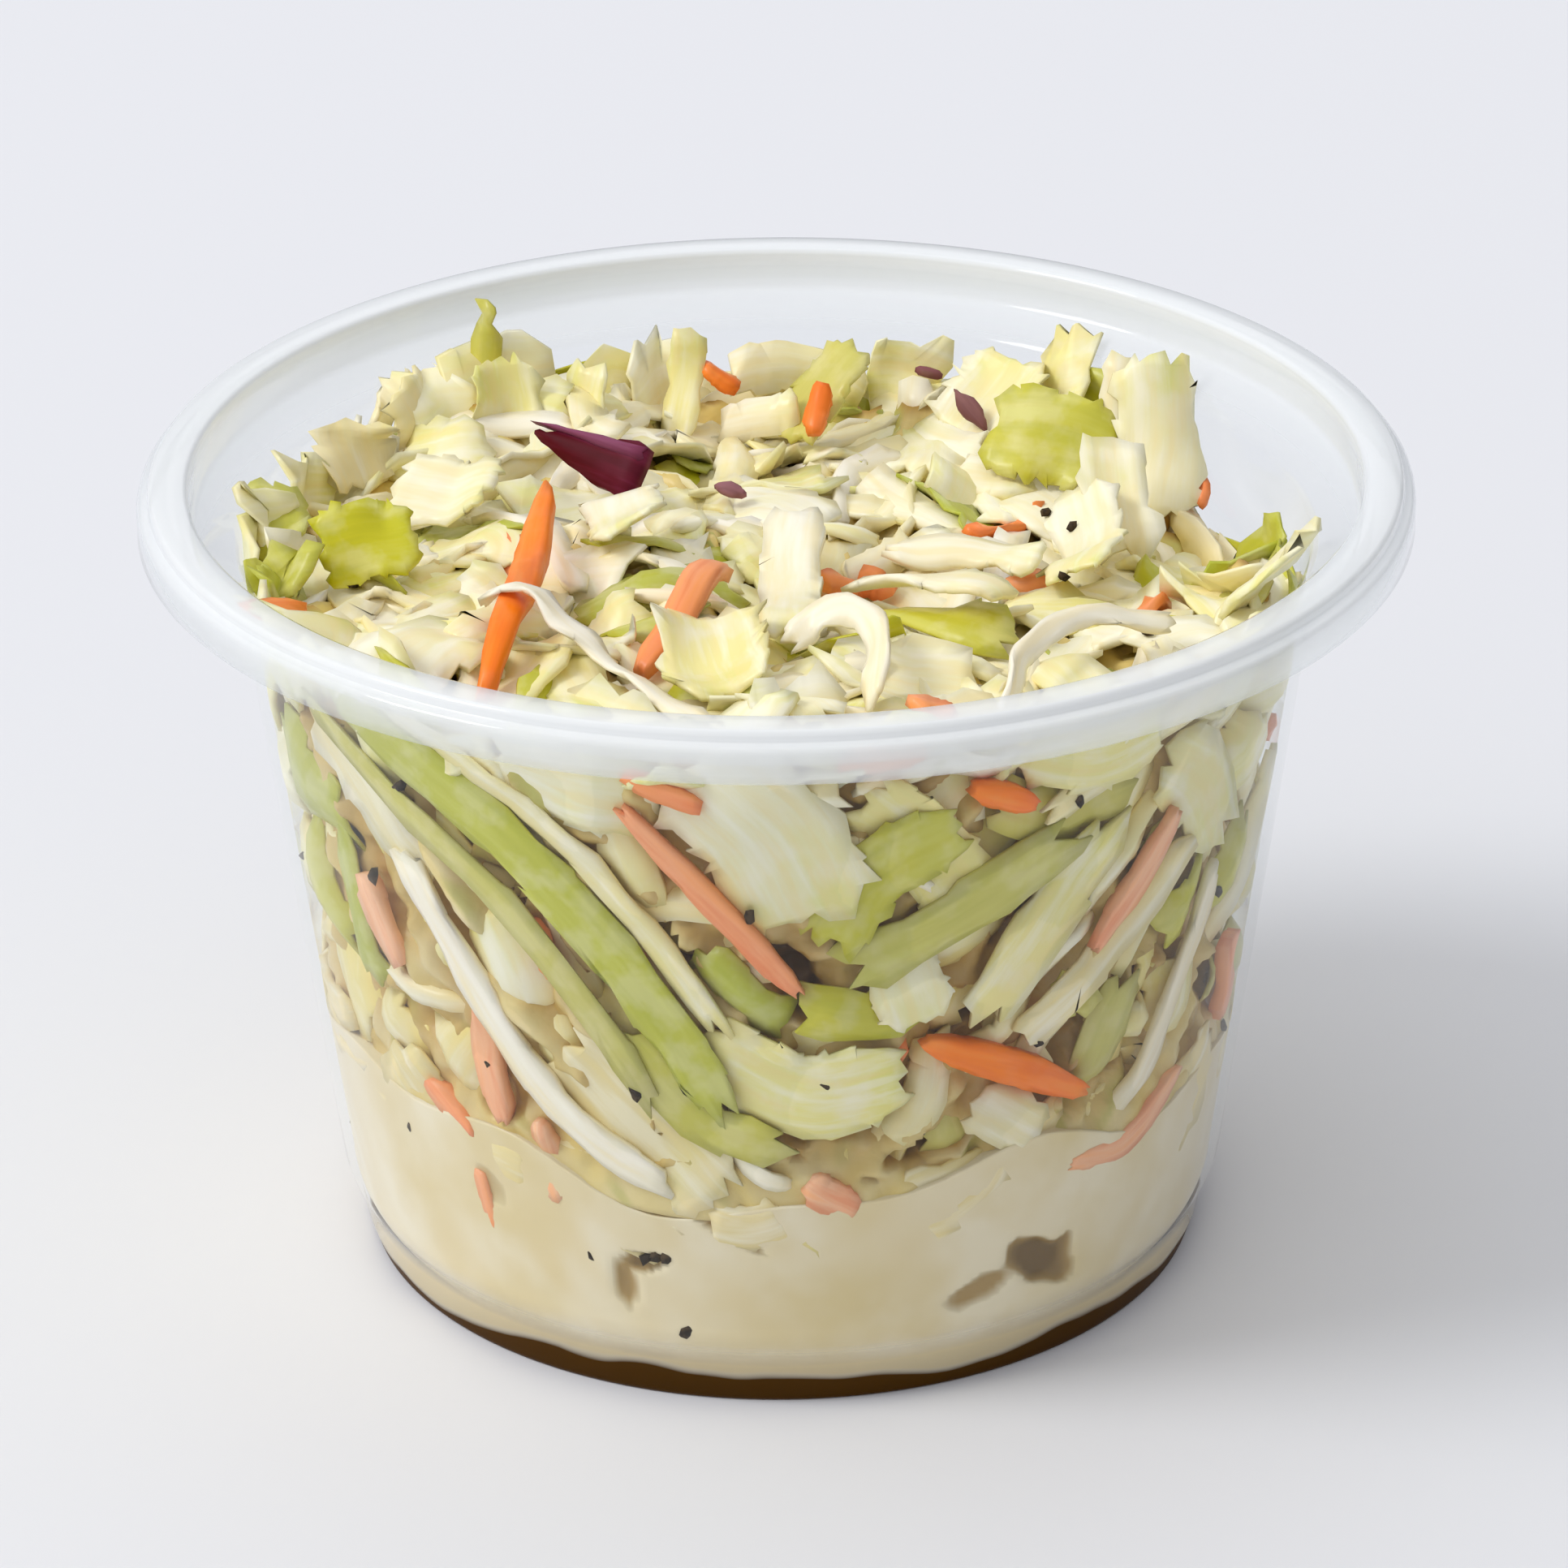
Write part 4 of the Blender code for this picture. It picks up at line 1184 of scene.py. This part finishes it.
def clearPlastic():
    # Natural polypropylene, injection moulded: clear with a milky veil, whitest at the thick rim and where
    # the wall is seen edge on, and glossy. The foot ring is painted dark brown, standing in for the shade
    # under the cup, and the corner above it is painted cream, standing in for the dressing's light carried
    # through the thick plastic.
    material, tree = newMaterial("clearPolypropyleneMoulded")
    axes = addNode(tree, "ShaderNodeSeparateXYZ", [addNode(tree, "ShaderNodeTexCoord", {}, "Object")], None)
    height = axes["Z"]
    facing = addNode(tree, "ShaderNodeLayerWeight", {"Blend": 0.5}, "Facing")
    back = addNode(tree, "ShaderNodeNewGeometry", {}, "Backfacing")
    front = addNode(tree, maths, (1.0, back), **minus)
    # painted shade: the dark band at the foot, standing in for the shade under the cup
    paintedShadeWander = plastic["paintedShadeWander"]
    paintedShadeLevel = addNode(tree, maths, (speckle(tree, 9, 1.5), paintedShadeWander, -paintedShadeWander / 2), operation="MULTIPLY_ADD")
    for part in (addNode(tree, remap, (axes["X"], *plastic["paintedShadeThinSide"], plastic["paintedShadeThinner"], 0.0)), height):
        paintedShadeLevel = addNode(tree, maths, (paintedShadeLevel, part), **plus)
    # clear is nought in the painted shade band and one above it
    clear = addNode(tree, remap, (paintedShadeLevel, *plastic["paintedShadeEnds"], 0.0, 1.0))
    # painted light: the corner above the band is veiled cream, standing in for the dressing's light carried
    # through the thick plastic
    abovePaintedCream = addNode(tree, remap, (height, *plastic["corner"], 0.0, 1.0))
    corner = addNode(tree, maths, (clear, abovePaintedCream), **minus)
    rimPart = addNode(tree, remap, (height, *plastic["rimFrom"], 0.0, 1.0))
    rimEdge = addNode(tree, maths, (rimPart, addNode(tree, remap, (facing, 0.4, 1.0, 0.0, 1.0))), **times)
    # painted shade: dark brown see-through colour and veil in the foot band; painted light: cream veil in the
    # corner above it
    seenThroughWithShade = layered(tree, "#6E4C14", [(clear, "#FCFDFD"), (rimEdge, "#F1F3F5")])
    cloud = layered(tree, "#5E3C04", [(clear, "#F6F8F8"), (corner, "#F0E2BC")])
    see = addNode(tree, "ShaderNodeBsdfTransparent", {"Color": seenThroughWithShade})
    haze = addNode(tree, "ShaderNodeBsdfDiffuse", {"Color": cloud})
    milk = addNode(tree, "ShaderNodeBsdfTranslucent", {"Color": cloud})
    through = addNode(tree, remap, (height, *plastic["backlit"], 0.4, 0.25))
    veil = addNode(tree, "ShaderNodeMixShader", (through, haze, milk))
    # how thick the veil is: edge on, over the rim, on its crown, at the painted cream corner and over the
    # painted dark band
    share = addNode(tree, remap, (facing, 0.45, 1.0, 0.012, 0.14))
    rimVeil = addNode(tree, remap, (facing, 0.25, 0.9, 0.72, 0.1))
    for part in (addNode(tree, maths, (rimPart, rimVeil), **times),
                 addNode(tree, remap, (height, *plastic["crown"], 0.0, 0.28)),
                 addNode(tree, maths, (corner, 0.9), **times),
                 addNode(tree, remap, (clear, 0.0, 1.0, 0.86, 0.0))):
        share = addNode(tree, maths, (share, part), **plus)
    share = addNode(tree, maths, (share, front), **times)
    body = addNode(tree, "ShaderNodeMixShader", (share, see, veil))
    shine = addNode(tree, "ShaderNodeBsdfGlossy", {"Roughness": 0.08, "Color": "#FFFFFF"})
    mirror = addNode(tree, "ShaderNodeFresnel", {"IOR": 1.33})
    for part in (front, addNode(tree, remap, (clear, 0.0, 1.0, 0.25, 1.0))):
        mirror = addNode(tree, maths, (mirror, part), **times)
    body = addNode(tree, "ShaderNodeMixShader", (mirror, body, shine))
    # lamps shine through the wall, and less so through its foot
    lamp = addNode(tree, "ShaderNodeLightPath", {}, "Is Shadow Ray")
    lampTint = layered(tree, "#3A2A10", [(clear, "#F4F6F7")])
    lit = addNode(tree, "ShaderNodeBsdfTransparent", {"Color": lampTint})
    body = addNode(tree, "ShaderNodeMixShader", (lamp, body, lit))
    addNode(tree, "ShaderNodeOutputMaterial", {"Surface": body}, None)
    return material


def joinKind(name):
    store = kinds[name]
    mesh = bpy.data.meshes.new(name)
    verts = np.concatenate(store["verts"])
    mesh.from_pydata(verts.tolist(), [], [f for group in store["faces"] for f in group])
    layer = mesh.attributes.new("shade", "FLOAT_COLOR", "POINT")
    layer.data.foreach_set("color", np.concatenate(store["shade"]).astype(np.float32).ravel())
    layer = mesh.attributes.new("veins", "FLOAT_VECTOR", "POINT")
    layer.data.foreach_set("vector", np.concatenate(store["veins"]).astype(np.float32).ravel())
    mesh.shade_smooth()
    piece = bpy.data.objects.new(name, mesh)
    bpy.context.scene.collection.objects.link(piece)
    mesh.materials.append(materials[name])
    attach(piece, "root")
    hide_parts("slaw")
    triangles = sum(len(p.vertices) - 2 for p in mesh.polygons)
    print("  ", name, len(store["verts"]), "pieces", triangles, "triangles")


for name in kinds:
    joinKind(name)
corePiece = makeCore()
corePiece.data.materials.append(coreMaterial)
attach(corePiece, "root")
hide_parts("slaw")
poolPiece = makePool()
poolPiece.data.materials.append(poolMaterial)
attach(poolPiece, "root")
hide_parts("dressing")
shell = makeCupShell()
shell.data.materials.append(clearPlastic())
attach(shell, "root")
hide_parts("cup")
print("stage: pieces in place")


studio = {"floorSize": 8.0, "floor": "#E4E4E6", "sky": "#F2F4FA", "skyLevel": 0.41, "skyAbove": 0.63,
          "skySide": 0.39, "skyFront": 0.06, "key": (-2.68, -0.68, 2.88), "keySize": 1.5, "keyPower": 66.0,
          "back": (0.2, 1.9, 1.5), "backSize": 1.6, "backPower": 3.0}

selectNothing()
bpy.ops.mesh.primitive_plane_add(size=studio["floorSize"])
floor = bpy.context.object
floor.name = "floor"
# matt paint, so that the cup's shadow falls on it and nothing is mirrored
floorMaterial, tree = newMaterial("paintedStudioFloor")
paint = addNode(tree, "ShaderNodeBsdfPrincipled", {"Base Color": studio["floor"], "Roughness": 0.7,
                                                  "Specular IOR Level": 0.15})
addNode(tree, "ShaderNodeOutputMaterial", {"Surface": paint}, None)
floor.data.materials.append(floorMaterial)

world = bpy.data.worlds.new("studioWorld")
bpy.context.scene.world = world
world.use_nodes = True
tree = world.node_tree
tree.nodes.clear()
way = addNode(tree, "ShaderNodeSeparateXYZ", [addNode(tree, "ShaderNodeTexCoord", {}, "Generated")], None)
skyTop = studio["skyLevel"] + studio["skyAbove"]
strength = addNode(tree, remap, (way["Z"], 0.0, 1.0, studio["skyLevel"], skyTop))
for axis, more in (("X", studio["skySide"]), ("Y", studio["skyFront"])):
    slope = addNode(tree, remap, (way[axis], -1.0, 1.0, more, -more))
    strength = addNode(tree, maths, (strength, slope), **plus)
glow = addNode(tree, "ShaderNodeBackground", {"Color": studio["sky"], "Strength": strength})
addNode(tree, "ShaderNodeOutputWorld", {"Surface": glow}, None)


def addLamp(name, place, size, power):
    lamp = bpy.data.lights.new(name, "AREA")
    lamp.shape = "DISK"
    lamp.size = size
    lamp.energy = power
    holder = bpy.data.objects.new(name, lamp)
    holder.location = place
    holder.rotation_euler = (Vector((0, 0, 0.02)) - Vector(place)).to_track_quat("-Z", "Y").to_euler()
    bpy.context.scene.collection.objects.link(holder)


addLamp("keyLamp", studio["key"], studio["keySize"], studio["keyPower"])
addLamp("backLamp", studio["back"], studio["backSize"], studio["backPower"])

shot = {"elevation": 25.68, "distance": 424.7, "target": (0.31, 0, 27.54), "lens": 164.8, "roll": 0.5}
rise = math.radians(shot["elevation"])
away = Vector((0, -math.cos(rise), math.sin(rise))) * shot["distance"] * mm
cameraData = bpy.data.cameras.new("camera")
cameraData.lens = shot["lens"]
cameraData.sensor_width = 36
camera = bpy.data.objects.new("camera", cameraData)
camera.location = Vector(shot["target"]) * mm + away
aim = (-away).to_track_quat("-Z", "Y").to_matrix()
camera.rotation_euler = (aim @ Matrix.Rotation(math.radians(-shot["roll"]), 3, "Z")).to_euler()
bpy.context.scene.collection.objects.link(camera)
bpy.context.scene.camera = camera
bpy.context.scene.view_settings.view_transform = "Standard"
bpy.context.scene.cycles.use_denoising = True
bpy.context.scene.cycles.transparent_max_bounces = 32
bpy.context.scene.cycles.diffuse_bounces = 6
print("stage: camera and light set")
